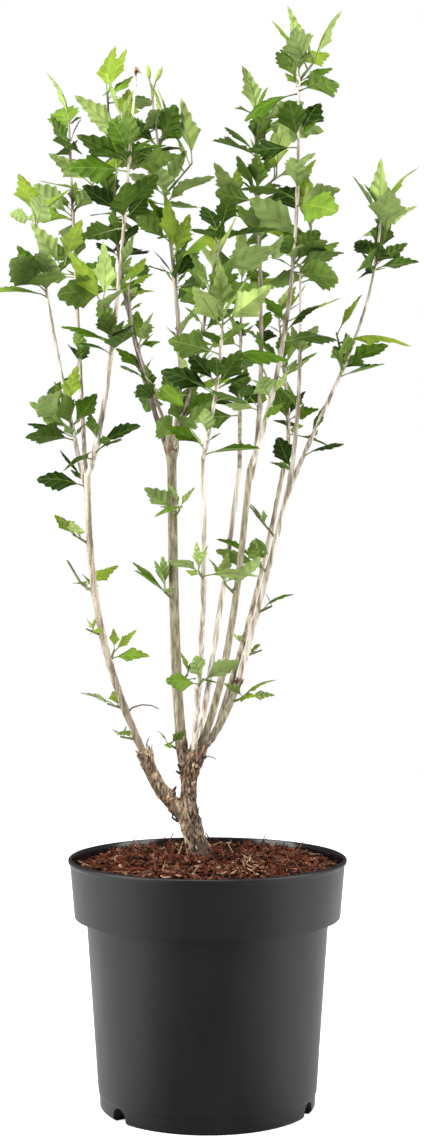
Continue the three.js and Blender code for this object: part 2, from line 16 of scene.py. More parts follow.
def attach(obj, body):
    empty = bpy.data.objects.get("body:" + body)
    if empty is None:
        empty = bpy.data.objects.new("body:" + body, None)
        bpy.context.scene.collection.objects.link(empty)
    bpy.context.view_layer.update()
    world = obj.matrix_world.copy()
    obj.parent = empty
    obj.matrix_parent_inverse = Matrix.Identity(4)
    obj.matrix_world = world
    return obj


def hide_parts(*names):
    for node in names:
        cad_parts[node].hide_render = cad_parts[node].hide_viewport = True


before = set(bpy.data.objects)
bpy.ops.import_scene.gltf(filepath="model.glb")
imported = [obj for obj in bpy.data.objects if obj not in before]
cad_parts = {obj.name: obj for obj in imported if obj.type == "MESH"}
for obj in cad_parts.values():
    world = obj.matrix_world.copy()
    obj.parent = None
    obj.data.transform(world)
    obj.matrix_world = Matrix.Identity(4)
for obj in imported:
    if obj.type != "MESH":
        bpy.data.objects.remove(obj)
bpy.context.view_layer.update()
MM = 0.001

# %% [markdown]
# ## The camera
# A product picture of a whole plant is taken level and from some way off, so that the stems stay upright.
# A small shift, as on a view camera, then puts the pot low in the tall frame without tilting the lens.

# %% Set up the camera
IMAGE_WIDTH, IMAGE_HEIGHT = 424, 1136
FOCAL_PIXELS = 1997
AXIS_X, AXIS_Y = 207.5, 548.3  # the pixel that the lens's axis meets

camera_data = bpy.data.cameras.new("camera")
camera_data.sensor_fit = "VERTICAL"
camera_data.sensor_height = 24
camera_data.lens = FOCAL_PIXELS * camera_data.sensor_height / IMAGE_HEIGHT
camera_data.shift_x = (IMAGE_WIDTH / 2 - AXIS_X) / IMAGE_HEIGHT
camera_data.shift_y = (AXIS_Y - IMAGE_HEIGHT / 2) / IMAGE_HEIGHT
camera = bpy.data.objects.new("camera", camera_data)
camera.location = (0, -1.65, 0.46)
camera.rotation_euler = (math.radians(90), 0, 0)
bpy.context.scene.collection.objects.link(camera)
bpy.context.scene.camera = camera
bpy.context.scene.view_settings.view_transform = "Standard"
print("lens in mm:", round(camera_data.lens, 2))

# %% [markdown]
# ## Lamps
# Two tall softboxes stand at the sides, a little in front of the plant, so a black pot shows a soft bright
# band at each side and stays dark in the middle. A third box hangs above.

# %% Hang the lamps
LAMP_AIM = (0, 0, 0.5)  # the middle of the plant


def softbox(name, place, size, power):
    """A rectangular lamp that faces the plant."""
    lamp = bpy.data.lights.new(name, "AREA")
    lamp.shape = "RECTANGLE"
    lamp.size, lamp.size_y = size
    lamp.energy = power
    holder = bpy.data.objects.new(name, lamp)
    holder.location = place
    holder.rotation_euler = (Vector(LAMP_AIM) - Vector(place)).to_track_quat("-Z", "Y").to_euler()
    bpy.context.scene.collection.objects.link(holder)


softbox("left_softbox", (-1.5, -0.62, 0.85), (1.2, 1.6), 45)
softbox("right_softbox", (1.5, -0.52, 0.85), (1.05, 1.6), 33)
softbox("top_softbox", (-0.2, -0.9, 2.2), (1.5, 1.2), 46)

# %% [markdown]
# ## Nodes
# Light and surfaces are networks of nodes. One function adds any kind of node, with its settings and links.
# Colours are written as sRGB hex and turned to linear light, which is what the renderer works in.

# %% One function for every node
def add_node(tree, kind, values=None, **settings):
    """Adds a node. values sets inputs by name or number: a socket is linked, anything else is a value."""
    node = tree.nodes.new(kind)
    for name, setting in settings.items():
        setattr(node, name, setting)
    for name, value in (values or {}).items():
        if isinstance(value, bpy.types.NodeSocket):
            tree.links.new(value, node.inputs[name])
        else:
            node.inputs[name].default_value = value
    return node


def linear(colour):
    """An sRGB hex colour as linear red, green, blue and alpha. Anything but a hex string stays as it is."""
    if not isinstance(colour, str):
        return colour
    parts = [int(colour[i : i + 2], 16) / 255 for i in (1, 3, 5)]
    return [c / 12.92 if c <= 0.04045 else ((c + 0.055) / 1.055) ** 2.4 for c in parts] + [1.0]


print("middle grey in linear light:", round(linear("#808080")[0], 3))

# %% [markdown]
# ## The room
# The room is light at the sides, dimmer behind the plant and dark behind the camera, as a studio is, so the
# pot's gloss has something to mirror. A camera ray that meets the room sees plain white.

# %% The studio room
ROOM_DARK, ROOM_WHITE = 0.12, 0.62  # light from behind the camera and from the side walls
FAR_WALL = 0.3  # the far wall's share of the side walls' light
SIDES_FROM, FAR_FROM = (-0.9, -0.3), (0.1, 0.7)  # where each fades in, by the Y of the way towards it

world = bpy.data.worlds.new("studio")
bpy.context.scene.world = world
world.use_nodes = True
room = world.node_tree
room.nodes.clear()
direct = add_node(room, "ShaderNodeLightPath").outputs["Is Camera Ray"]
heading = add_node(room, "ShaderNodeTexCoord").outputs["Generated"]
away = add_node(room, "ShaderNodeSeparateXYZ", {0: heading}).outputs["Y"]
walls = {"Value": away, 1: SIDES_FROM[0], 2: SIDES_FROM[1], 3: ROOM_DARK, 4: ROOM_WHITE}
walls = add_node(room, "ShaderNodeMapRange", walls).outputs[0]
far_wall = {"Value": away, 1: FAR_FROM[0], 2: FAR_FROM[1], 3: 1.0, 4: FAR_WALL}
far_wall = add_node(room, "ShaderNodeMapRange", far_wall).outputs[0]
glow = add_node(room, "ShaderNodeMath", {0: walls, 1: far_wall}, operation="MULTIPLY").outputs[0]
strength = add_node(room, "ShaderNodeMix", {0: direct, 2: glow, 3: 1.0}).outputs[0]
air = add_node(room, "ShaderNodeBackground", {"Color": linear("#ffffff"), "Strength": strength})
add_node(room, "ShaderNodeOutputWorld", {"Surface": air.outputs[0]})
print("nodes of the room:", len(room.nodes))

# %% [markdown]
# ## The floor
# The floor is painted with matt emulsion and stands over a light table, so it looks as white as the air
# behind it. The glow is for the camera only. In a reflection the floor before the pot is grey, as if a card
# lay there. Like every material here it starts empty, gets its colour in coats, and ends in one surface.

# %% Start and finish a material
def new_material(name):
    """An empty material and its tree of nodes."""
    material = bpy.data.materials.new(name)
    material.use_nodes = True
    material.node_tree.nodes.clear()
    return material, material.node_tree


def finish_material(tree, values):
    """Ends a material's tree with a Principled surface that has these inputs."""
    surface = add_node(tree, "ShaderNodeBsdfPrincipled", values)
    add_node(tree, "ShaderNodeOutputMaterial", {"Surface": surface.outputs[0]})


def coats(tree, under, *layers):
    """A colour in coats. Each layer is a share from 0 to 1 and a colour that goes over those before it."""
    colour = linear(under)
    for share, over in layers:
        mix = {0: share, 6: colour, 7: linear(over)}
        colour = add_node(tree, "ShaderNodeMix", mix, data_type="RGBA").outputs[2]
    return colour


print("white paint with no coat over it, in linear light:", round(coats(None, "#f4f4f4")[0], 3))

# %% Lay the floor
FLOOR_RADIUS, FLOOR_GLOW = 2.4, 0.55
CARD_EDGE = (-0.92, -0.35)  # where the grey card before the pot ends, by the Y of the way from the pot

# Matt emulsion: rough, without gloss, and very faintly mottled.
floor_paint, tree = new_material("matt_white_floor_paint")
fine = add_node(tree, "ShaderNodeTexNoise", {"Scale": 900.0, "Detail": 2.0}).outputs["Fac"]
direct = add_node(tree, "ShaderNodeLightPath").outputs["Is Camera Ray"]
spot = add_node(tree, "ShaderNodeTexCoord").outputs["Object"]
toward = add_node(tree, "ShaderNodeVectorMath", {0: spot}, operation="NORMALIZE").outputs[0]
side = add_node(tree, "ShaderNodeSeparateXYZ", {0: toward}).outputs["Y"]
off_card = {"Value": side, 1: CARD_EDGE[0], 2: CARD_EDGE[1]}
off_card = add_node(tree, "ShaderNodeMapRange", off_card).outputs[0]
white = add_node(tree, "ShaderNodeMath", {0: direct, 1: off_card}, operation="MAXIMUM").outputs[0]
shown = add_node(tree, "ShaderNodeMath", {0: direct, 1: FLOOR_GLOW}, operation="MULTIPLY").outputs[0]
finish_material(tree, {
    "Base Color": coats(tree, "#8a8a8a", (white, coats(tree, "#f4f4f4", (fine, "#fbfbfb")))),
    "Roughness": 0.9,
    "Specular IOR Level": 0.1,
    "Emission Color": linear("#ffffff"),
    "Emission Strength": shown,
})

floor_bm = bmesh.new()
bmesh.ops.create_circle(floor_bm, cap_ends=True, segments=96, radius=FLOOR_RADIUS)
floor_mesh = bpy.data.meshes.new("floor")
floor_bm.to_mesh(floor_mesh)
floor_mesh.materials.append(floor_paint)
floor = bpy.data.objects.new("floor", floor_mesh)
bpy.context.scene.collection.objects.link(floor)
print("floor radius in m:", FLOOR_RADIUS)

# %% [markdown]
# ## From shape to piece
# Every piece ends the same way: its mesh becomes an object at the origin, it rides on the one body, it
# names the material slot it belongs to, and it stands for the solids it replaces.

# %% A helper that finishes a piece
def finish_piece(name, mesh, materials, replaced=(), smooth_below=50):
    """Makes a mesh the piece called name. Edges sharper than smooth_below degrees stay crisp."""
    mesh.name = name
    for material in materials:
        mesh.materials.append(material)
    mesh.shade_smooth()
    mesh.set_sharp_from_angle(angle=math.radians(smooth_below))
    piece = bpy.data.objects.new(name, mesh)
    bpy.context.scene.collection.objects.link(piece)
    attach(piece, "root")
    if replaced:
        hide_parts(*replaced)
    print(name, "triangles:", sum(len(p.vertices) - 2 for p in mesh.polygons))


# %% [markdown]
# ## The pot's plastic
# Nursery pots are injection moulded in polypropylene that holds carbon black and recycled stock. The mould
# is polished but worn, so the skin is satin: it mirrors a lamp as a broad soft band. Handling leaves faint
# dull smears, and water leaves a little grey dust. The inside came off a smoother core, so it is glossier.

# %% Satin black polypropylene
def patterned(tree, scale, low=0.0, high=1.0, strength=1.0, stretch=(1, 1, 1), detail=4.0):
    """Noise on the object's own coordinates. scale is in repeats a metre, so 1000 makes spots of 1 mm.

    It is 0 where the noise is below low and rises to strength where the noise is above high.
    """
    place = add_node(tree, "ShaderNodeTexCoord").outputs["Object"]
    fitted = add_node(tree, "ShaderNodeMapping", {"Vector": place, "Scale": stretch}).outputs[0]
    cloud = {"Vector": fitted, "Scale": scale, "Detail": detail}
    cloud = add_node(tree, "ShaderNodeTexNoise", cloud).outputs["Fac"]
    return add_node(tree, "ShaderNodeMapRange", {"Value": cloud, 1: low, 2: high, 4: strength}).outputs[0]


GRAIN = 1200  # repeats a metre, for a moulded grain of about 0.8 mm


def pot_skin(name, glossy, dull, grain_depth):
    """Black plastic whose roughness runs from glossy to dull where hands have smeared it."""
    material, tree = new_material(name)
    smears = patterned(tree, 22, 0.35, 0.7, stretch=(1, 1, 0.35))  # 45 mm wide
    dust = patterned(tree, 240, 0.5, 0.75, strength=0.3)  # spots of 4 mm
    grain = {"Height": patterned(tree, GRAIN), "Strength": grain_depth, "Distance": 0.0003}
    finish_material(tree, {
        "Base Color": coats(tree, "#0c0b0e", (smears, "#141317"), (dust, "#1f1e21")),
        "Roughness": add_node(tree, "ShaderNodeMapRange", {"Value": smears, 3: glossy, 4: dull}).outputs[0],
        "IOR": 1.49,
        "Specular IOR Level": 0.33,
        "Normal": add_node(tree, "ShaderNodeBump", grain).outputs[0],
    })
    return material


pot_skins = [
    pot_skin("satin_moulded_polypropylene", glossy=0.38, dull=0.47, grain_depth=0.12),
    pot_skin("smooth_inner_polypropylene", glossy=0.12, dull=0.2, grain_depth=0.05),
]
print("skins of the pot:", len(pot_skins))

# %% [markdown]
# ## The pot
# The pot is one turned shape: foot, tapered wall, a level ledge under the stacking collar, and a thin lip.
# So it is spun from its profile. The drain notches under its foot are cut afterwards with level bores,
# and the sharp moulded edges get a small bevel that catches the light.

# %% Spin the pot
POT_PROFILE = [  # radius and height in mm, from the underside's middle round to the inside's middle
    (0, 0), (24, 0), (26, 4), (66, 4), (68, 0), (86.3, 0), (88.6, 2.3), (89, 12.5), (90, 14),
    (99.8, 156), (109.6, 157), (113.2, 199.4), (113.8, 200.8), (114.8, 201.8), (114.9, 204.1),
    (114, 205), (112.1, 205), (111.2, 201.6), (107.6, 159), (97.8, 158), (88, 14), (84, 7), (0, 7),
]
TURNS = 112

pot_bm = bmesh.new()
ring = [pot_bm.verts.new((radius * MM, 0, height * MM)) for radius, height in POT_PROFILE]
edges = [pot_bm.edges.new(pair) for pair in zip(ring, ring[1:])]
spin = {"cent": (0, 0, 0), "axis": (0, 0, 1), "dvec": (0, 0, 0), "angle": math.tau, "steps": TURNS}
bmesh.ops.spin(pot_bm, geom=ring + edges, use_merge=True, **spin)
bmesh.ops.remove_doubles(pot_bm, verts=pot_bm.verts, dist=0.00001)
bmesh.ops.recalc_face_normals(pot_bm, faces=pot_bm.faces)
crisp = [e for e in pot_bm.edges if e.calc_face_angle(0) > math.radians(24)]
rounding = {"offset": 0.0005, "segments": 2, "profile": 0.5, "material": -1, "affect": "EDGES"}
bmesh.ops.bevel(pot_bm, geom=crisp, clamp_overlap=True, **rounding)
print("bevelled edges:", len(crisp))

# %% Bore the drain notches
NOTCH_ANGLES = (-23, 97, 217)
NOTCH_RADIUS, NOTCH_HEIGHT, NOTCH_OUT, BORE_LENGTH = 8.5 * MM, 3.5 * MM, 88.6 * MM, 34 * MM
INNER_SKIN_FROM = 0.16  # the height in metres that the glossier inner wall shows from

cutter_bm = bmesh.new()
for angle in NOTCH_ANGLES:
    lying = Matrix.Translation((NOTCH_OUT, 0, NOTCH_HEIGHT)) @ Matrix.Rotation(math.radians(90), 4, "Y")
    turned = Matrix.Rotation(math.radians(angle), 4, "Z") @ lying
    bore = {"segments": 28, "radius1": NOTCH_RADIUS, "radius2": NOTCH_RADIUS, "depth": BORE_LENGTH}
    bmesh.ops.create_cone(cutter_bm, cap_ends=True, matrix=turned, **bore)


def scratch_object(name, bm):
    """A bmesh as an object that only helps to make another."""
    mesh = bpy.data.meshes.new(name)
    bm.to_mesh(mesh)
    made = bpy.data.objects.new(name, mesh)
    bpy.context.scene.collection.objects.link(made)
    return made


def applied(made):
    """An object's mesh with its modifiers applied. The object itself is removed."""
    bpy.context.view_layer.update()
    shaped = made.evaluated_get(bpy.context.evaluated_depsgraph_get())
    mesh = bpy.data.meshes.new_from_object(shaped)
    bpy.data.objects.remove(made)
    return mesh


cutter = scratch_object("notch_bores", cutter_bm)
blank = scratch_object("pot_blank", pot_bm)
cut = blank.modifiers.new("notches", "BOOLEAN")
cut.operation = "DIFFERENCE"
cut.solver = "EXACT"
cut.object = cutter
pot_mesh = applied(blank)
bpy.data.objects.remove(cutter)
for face in pot_mesh.polygons:
    away = math.hypot(face.center.x, face.center.y)
    inward = face.center.x * face.normal.x + face.center.y * face.normal.y < -0.5 * away
    face.material_index = int(inward and face.center.z > INNER_SKIN_FROM)
finish_piece("moulded_pot", pot_mesh, pot_skins, ["pot"], smooth_below=28)

# %% [markdown]
# ## How the plant grows
# The leaves have to fill the same space as the solid model's. So the solid model's own rule of growth is
# written again here: the same stems, the same run of chance numbers, the same places for the leaves.
# Everything in this part is in millimetres, and it is turned to metres only when a mesh is made.

# %% The limbs
# on: what it springs from. at: the share of that stem's length. swells: [share, extra radius].
# stubs: [share, turn, length, radius]
LIMBS = {
    "trunk": dict(root=(-6, 0, 206.3), tip=(-7, 0, 296), bow=(-9.5, 0), skew=1, radius=(9.2, 5.2),
                  swells=((0.3, 1), (0.93, 2.6)),
                  stubs=((0.24, 200, 13, 3), (0.74, 165, 11.5, 3), (0.84, 10, 12, 3.4))),
    "left_bough": dict(on="trunk", at=0.32, tip=(-52, -4, 293), bow=(-7, 0), skew=1, radius=(6.6, 5.2),
                       swells=((0.97, 1),), stubs=((0.36, -50, 8, 2.8),)),
    "left_rod": dict(on="left_bough", at=0.88, tip=(-98, -25, 519), bow=(-15, 0), skew=0.9, radius=(3, 2.4)),
    "centre_bough": dict(on="trunk", at=0.62, tip=(-30, 10, 553), bow=(-5.5, 6), skew=0.6, radius=(4.5, 3.9),
                         swells=((0.12, 0.8), (0.97, 2.6))),
    "right_inner_bough": dict(on="trunk", at=0.96, tip=(35, -4, 527), bow=(9, -6), skew=0.7,
                              radius=(3.3, 2.5)),
    "right_outer_bough": dict(on="trunk", at=0.94, tip=(26, 22, 349), bow=(5.5, 2), skew=0.7,
                              radius=(3.3, 3), swells=((0.98, 0.6),)),
    "right_outer_rod": dict(on="right_outer_bough", at=0.96, tip=(68, 25, 511), bow=(1, 4), skew=0.8,
                            radius=(2.4, 2)),
    "right_back_rod": dict(on="right_outer_bough", at=0.3, tip=(68, 60, 544), bow=(5, 12), skew=1,
                           radius=(2.3, 1.8)),
    "middle_rod": dict(on="trunk", at=0.82, tip=(-4, -50, 530), bow=(4, -10), skew=1.2, radius=(2.6, 1.9)),
    "back_rod": dict(on="trunk", at=0.97, tip=(27, 34, 526), bow=(1, 8), skew=1, radius=(2.4, 1.9)),
}
print("limbs:", len(LIMBS))

# %% The leafy shoots
# nodes: (share of the shoot's length, leaves there). bark: the tone that its ripened bark has.
SHOOTS = {
    "left_front_foliage": dict(
        on="left_rod", at=1, tip=(-57, -56, 842), bow=(8, -8), skew=0.6, radius=(2.2, 0.9), seed=222,
        nodes=((0.07, 4), (0.33, 7), (0.49, 5), (0.64, 5), (0.78, 7)), bark="pale"),
    "left_outer_foliage": dict(
        on="left_rod", at=0.94, tip=(-143, -5, 733), bow=(-3, 6), skew=0.8, radius=(2, 0.9), seed=335,
        nodes=((0.05, 5), (0.23, 7), (0.75, 8), (1, 3)), bark="pale"),
    "left_back_foliage": dict(
        on="left_rod", at=0.88, tip=(-119, 62, 826), bow=(-2, 20), skew=0.7, radius=(2, 0.9), seed=443,
        nodes=((0.37, 3), (0.62, 5), (0.76, 6), (0.92, 5), (1, 2)), bark="brown"),
    "centre_left_foliage": dict(
        on="centre_bough", at=0.93, tip=(-86, 66, 852), bow=(-15, 16), skew=0.9, radius=(2.2, 0.9), seed=250,
        nodes=((0.22, 3), (0.42, 4), (0.56, 5), (0.68, 6), (0.84, 7), (1, 3)), bark="dark"),
    "centre_low_foliage": dict(
        on="centre_bough", at=0.98, tip=(-64, -34, 672), bow=(-6, -8), skew=1.4, radius=(1.6, 0.8), seed=419,
        nodes=((0.3, 4), (0.62, 3), (1, 5)), bark="brown"),
    "centre_tall_foliage": dict(
        on="centre_bough", at=1, tip=(-46, 16, 834), bow=(11, 10), skew=0.6, radius=(2.2, 0.8), seed=84,
        nodes=((0.07, 5), (0.3, 3), (0.47, 6), (0.6, 5), (0.72, 6), (0.86, 7)), bark="brown"),
    "centre_front_foliage": dict(
        on="centre_bough", at=0.95, tip=(12, -66, 722), bow=(4, -14), skew=0.7, radius=(2, 0.9), seed=459,
        nodes=((0.12, 5), (0.3, 5), (0.52, 3), (0.68, 6), (0.92, 5)), bark="brown"),
    "middle_foliage": dict(
        on="middle_rod", at=1, tip=(12, -96, 640), bow=(3, -8), skew=1, radius=(1.8, 0.8), seed=491,
        nodes=((0.12, 3), (0.5, 5), (0.78, 4), (1, 5)), bark="pale"),
    "right_tall_foliage": dict(
        on="right_inner_bough", at=1, tip=(74, -26, 863), bow=(16, -6), skew=0.8, radius=(2.2, 0.9), seed=158,
        nodes=((0.17, 3), (0.33, 3), (0.5, 6), (0.66, 4), (0.8, 4), (0.93, 7), (1, 3)), bark="pale"),
    "right_centre_foliage": dict(
        on="right_inner_bough", at=0.95, tip=(40, 44, 826), bow=(9, 12), skew=0.6, radius=(2.2, 0.9), seed=91,
        nodes=((0.2, 3), (0.37, 3), (0.55, 4), (0.66, 6), (0.78, 7), (0.9, 6), (1, 4)), bark="brown"),
    "back_foliage": dict(
        on="back_rod", at=1, tip=(30, 112, 690), bow=(0, 16), skew=1, radius=(1.9, 0.9), seed=82,
        nodes=((0.35, 5), (0.7, 4), (1, 5)), bark="brown"),
    "right_middle_foliage": dict(
        on="right_outer_rod", at=1, tip=(77, 10, 690), bow=(4, -4), skew=0.8, radius=(2, 0.9), seed=275,
        nodes=((0.05, 5), (0.34, 4), (0.6, 4), (1, 6)), bark="pale"),
    "right_back_foliage": dict(
        on="right_back_rod", at=1, tip=(62, 92, 662), bow=(3, 6), skew=0.6, radius=(1.8, 0.8), seed=30,
        nodes=((0.2, 4), (0.6, 5), (1, 5)), bark="brown"),
    "right_outer_foliage": dict(
        on="right_outer_rod", at=0.93, tip=(142, -15, 732), bow=(13, 4), skew=1.5, radius=(2, 0.9), seed=387,
        nodes=((0.2, 2), (0.48, 6), (0.84, 8), (1, 4)), bark="pale"),
}
print("shoots:", len(SHOOTS))

# %% The small sprays on the bare rods
# (on, at, the way it leans in degrees, leaves, size beside the leaves of the masses, seed)
SPRAYS = {
    "left_rod_spray_1": ("left_rod", 0.07, 200, 3, 0.55, 23),
    "left_rod_spray_2": ("left_rod", 0.18, 170, 5, 0.72, 167),
    "left_rod_spray_3": ("left_rod", 0.34, 60, 3, 0.62, 3),
    "left_rod_spray_4": ("left_rod", 0.44, 200, 5, 0.76, 484),
    "left_rod_spray_5": ("left_rod", 0.59, 150, 6, 0.86, 459),
    "left_rod_spray_6": ("left_rod", 0.76, 190, 6, 0.9, 372),
    "centre_spray_1": ("centre_bough", 0.1, 200, 3, 0.5, 423),
    "centre_spray_2": ("centre_bough", 0.29, -40, 3, 0.6, 483),
    "centre_spray_3": ("centre_bough", 0.53, 230, 4, 0.8, 31),
    "centre_spray_4": ("centre_bough", 0.76, -60, 4, 0.8, 50),
    "middle_spray_1": ("middle_rod", 0.27, -80, 4, 0.75, 385),
    "middle_spray_2": ("middle_rod", 0.62, 250, 4, 0.8, 446),
    "right_inner_spray": ("right_inner_bough", 0.55, 200, 4, 0.8, 347),
    "right_bough_spray": ("right_outer_bough", 0.7, -20, 5, 0.7, 257),
    "right_rod_spray_1": ("right_outer_rod", 0.14, 10, 5, 0.7, 449),
    "right_rod_spray_2": ("right_outer_rod", 0.36, -30, 5, 0.72, 467),
    "right_rod_spray_3": ("right_outer_rod", 0.56, 210, 6, 0.8, 41),
    "right_rod_spray_4": ("right_outer_rod", 0.74, 160, 6, 0.85, 73),
}
SPRAY_LENGTH, SPRAY_LEAN, SPRAY_RADIUS = 15, math.radians(55), (1.3, 0.8)
print("sprays:", len(SPRAYS))

# %% [markdown]
# ## Stems as curves
# A stem rarely grows dead straight. Each one here is a straight line from its root to its tip, pushed
# sideways by half a wave. The power called skew moves the fullest bend towards the root or the tip.

# %% Lay the stems
def unit(vector):
    """A vector of length 1."""
    return vector / np.linalg.norm(vector)


class Stem:
    """A stem's middle line from root to tip."""

    def __init__(self, root, tip, bow=(0, 0), skew=1):
        self.root = np.array(root, float)
        self.tip = np.array(tip, float)
        self.bow = np.array([bow[0], bow[1], 0.0])
        self.skew = skew
        self.span = float(np.linalg.norm(self.tip - self.root))

    def point(self, t):
        swell = math.sin(math.pi * max(t, 0.0) ** self.skew)
        return self.root + (self.tip - self.root) * t + self.bow * swell

    def heading(self, t):
        return unit(self.point(t + 0.01) - self.point(t - 0.01))


stems = {}
for name, part in {**LIMBS, **SHOOTS}.items():
    root = stems[part["on"]].point(part["at"]) if "on" in part else part["root"]
    stems[name] = Stem(root, part["tip"], part["bow"], part["skew"])
for name, (on, at, lean, *_) in SPRAYS.items():
    root = stems[on].point(at)
    along = stems[on].heading(at)
    level = np.array([math.cos(math.radians(lean)), math.sin(math.radians(lean)), 0.0])
    out = unit(level - along * (level @ along))
    way = along * math.cos(SPRAY_LEAN) + out * math.sin(SPRAY_LEAN)
    stems[name] = Stem(root, root + way * SPRAY_LENGTH)
print("stems:", len(stems), "longest in mm:", round(max(s.span for s in stems.values())))

# %% [markdown]
# ## Room for each mass
# A leaf belongs to the stem it is nearest to. Before a leaf is kept, its corners are measured against every
# stem, so each mass of foliage keeps to its own space, clear of the bare limbs and of the soil.

# %% Measure the room round a stem
LINE_STEPS = 12
LOWEST, HIGHEST = 213, 902
FAR_LEFT, FAR_RIGHT = -167, 174
MARGIN, LIMB_CLEARANCE, STEM_CLEARANCE = 1.2, 2.5, 4

order = list(stems)
tracks = np.array([[stems[n].point(i / LINE_STEPS) for i in range(LINE_STEPS + 1)] for n in order])
starts = tracks[:, :-1].reshape(-1, 3)
runs = (tracks[:, 1:] - tracks[:, :-1]).reshape(-1, 3)
squares = (runs**2).sum(1)
is_limb = np.array([n in LIMBS for n in order])
limb_room = np.array([LIMBS[n]["radius"][0] + LIMB_CLEARANCE if n in LIMBS else 0.0 for n in order])


def distances(points):
    """How far each point is from each stem, one row a point."""
    gap = points[:, None] - starts[None]
    share = np.clip((gap * runs).sum(2) / squares, 0, 1)
    away = np.linalg.norm(gap - share[..., None] * runs, axis=2)
    return away.reshape(len(points), -1, LINE_STEPS).min(2)


def in_own_space(owner, points):
    """True where every point is nearer its own stem than any other and clear of limbs and soil."""
    if points[:, 2].min() < LOWEST or points[:, 2].max() > HIGHEST:
        return False
    if points[:, 0].min() < FAR_LEFT or points[:, 0].max() > FAR_RIGHT:
        return False
    away = distances(points)
    mine = order.index(owner)
    needed = np.where(is_limb, limb_room, np.maximum(away[:, mine] + MARGIN, STEM_CLEARANCE)[:, None])
    needed[:, mine] = -1
    return bool((away > needed).all())


trial_point = np.array([[-90.0, -60.0, 700.0]])
print("a point in its own space:", in_own_space("left_front_foliage", trial_point))

# %% [markdown]
# ## Leaves in rosettes
# On this shrub the leaves crowd together at the nodes. The oldest leaf of a rosette is large and nearly
# level, and the youngest is small and upright. Each next leaf turns 137.5 degrees round the stem, the golden
# turn that keeps leaves from shading each other.

# %% Draw one leaf
OUTLINE = [(0.2, 0.03), (0.57, 0.28), (1, 0), (0.57, -0.28), (0.2, -0.03), (0.58, 0)]  # along it, out
HEART = 0.58  # where a leaf's middle is, as a share of its length
DROOP = 0.16
LIFTS = (10, 64)  # the oldest and the youngest leaf's rise, in degrees
LEAF_LENGTHS, LAST_SHARE = (60, 40), 0.62  # in mm, and the youngest's share of that
TURN_PLAY, LIFT_PLAY, ROLL_PLAY = (math.radians(angle) for angle in (50, 36, 130))
GOLDEN_TURN = math.radians(137.5)


def seeded_draw(seed):
    """A function that gives the same run of numbers from 0 to 1 for the same seed."""
    state = (seed * 2654435761) & 0xFFFFFFFF

    def draw():
        nonlocal state
        state = (state * 1664525 + 1013904223) & 0xFFFFFFFF
        return state / 4294967296

    return draw


def between(low, high, share):
    return low + (high - low) * share


def draw_leaf(draw, root, turn, age, scale, extra_lift=0, last_share=LAST_SHARE):
    """One leaf, whose age runs from 0, low and large, to 1, upright and last_share as large."""
    azimuth = turn + TURN_PLAY * (draw() - 0.5)
    lift = math.radians(between(*LIFTS, age)) + LIFT_PLAY * (draw() - 0.5) + math.radians(extra_lift)
    size = between(*LEAF_LENGTHS, draw())
    roll = ROLL_PLAY * (draw() - 0.5)
    flat = math.cos(lift)
    heading = np.array([math.cos(azimuth) * flat, math.sin(azimuth) * flat, math.sin(lift)])
    level = np.array([-math.sin(azimuth), math.cos(azimuth), 0.0])
    up = np.cross(heading, level)
    face = up * math.cos(roll) + np.cross(heading, up) * math.sin(roll)
    length = scale * size * between(1, last_share, age)
    return dict(root=root, heading=heading, face=face, side=np.cross(heading, face), length=length, age=age)


def check_points(leaf):
    """Where the corners of a leaf's outline are."""
    rows = [
        leaf["heading"] * along + leaf["side"] * out - leaf["face"] * DROOP * along * along
        for along, out in OUTLINE
    ]
    return leaf["root"] + np.array(rows) * leaf["length"]


def heart(leaf):
    return leaf["root"] + leaf["heading"] * HEART * leaf["length"]


print("a leaf's length in mm:", round(draw_leaf(seeded_draw(1), np.zeros(3), 0, 0, 1)["length"], 1))

# %% Grow the rosettes and side twigs
TRIES, NEXT_TURN, APART = 10, 1.3, 12  # places tried, radians from one to the next, mm between leaves
ROSETTE = 14  # mm of stem that one rosette's leaves are spread over
TIP_LIFT, TIP_SHARE = 20, 0.92  # at a tip leaves rise more, and on a tall shoot the last ones are larger
TWIG_RISE, TWIG_PLAY, TWIG_LENGTHS = 48, 20, (21, 39)  # degrees and mm


def try_leaf(leaves, draw, owner, root, turn, age, habit, apart, marks):
    """Adds a leaf in the first place round the stem that has room for it, or none."""
    for attempt in range(TRIES):
        leaf = draw_leaf(draw, root, turn + attempt * NEXT_TURN, age, *habit)
        crowded = any(np.linalg.norm(heart(other) - heart(leaf)) < apart for other in leaves)
        if crowded or not in_own_space(owner, check_points(leaf)):
            continue
        leaves.append({**leaf, **marks})
        return


def add_rosette(leaves, draw, owner, stem, share, count, marks):
    """Leaves spaced by the golden turn along a short stretch of a stem."""
    stretch = ROSETTE / stem.span
    first_turn = draw() * math.tau
    scale = SPRAYS[owner][4] if owner in SPRAYS else 1
    tall = share == 1 and owner in SHOOTS
    habit = (scale, TIP_LIFT if share == 1 else 0, TIP_SHARE if tall else LAST_SHARE)
    for i in range(count):
        age = i / (count - 1)
        place = min(share + (age - 0.7) * stretch, 0.995)
        root = stem.point(max(place, 0.25 * stretch))
        turn = first_turn + i * GOLDEN_TURN
        try_leaf(leaves, draw, owner, root, turn, age, habit, APART, marks)


def side_twig(draw, owner, stem, share):
    """A short twig from a node, or None where it has no room."""
    for _ in range(TRIES):
        angle = draw() * math.tau
        rise = math.radians(TWIG_RISE + TWIG_PLAY * (draw() - 0.5))
        length = between(*TWIG_LENGTHS, draw())
        root = stem.point(share)
        flat = math.cos(rise)
        tip = root + np.array([math.cos(angle) * flat, math.sin(angle) * flat, math.sin(rise)]) * length
        if in_own_space(owner, np.array([tip, tip + (root - tip) * 0.4])):
            return Stem(root, tip)
    return None


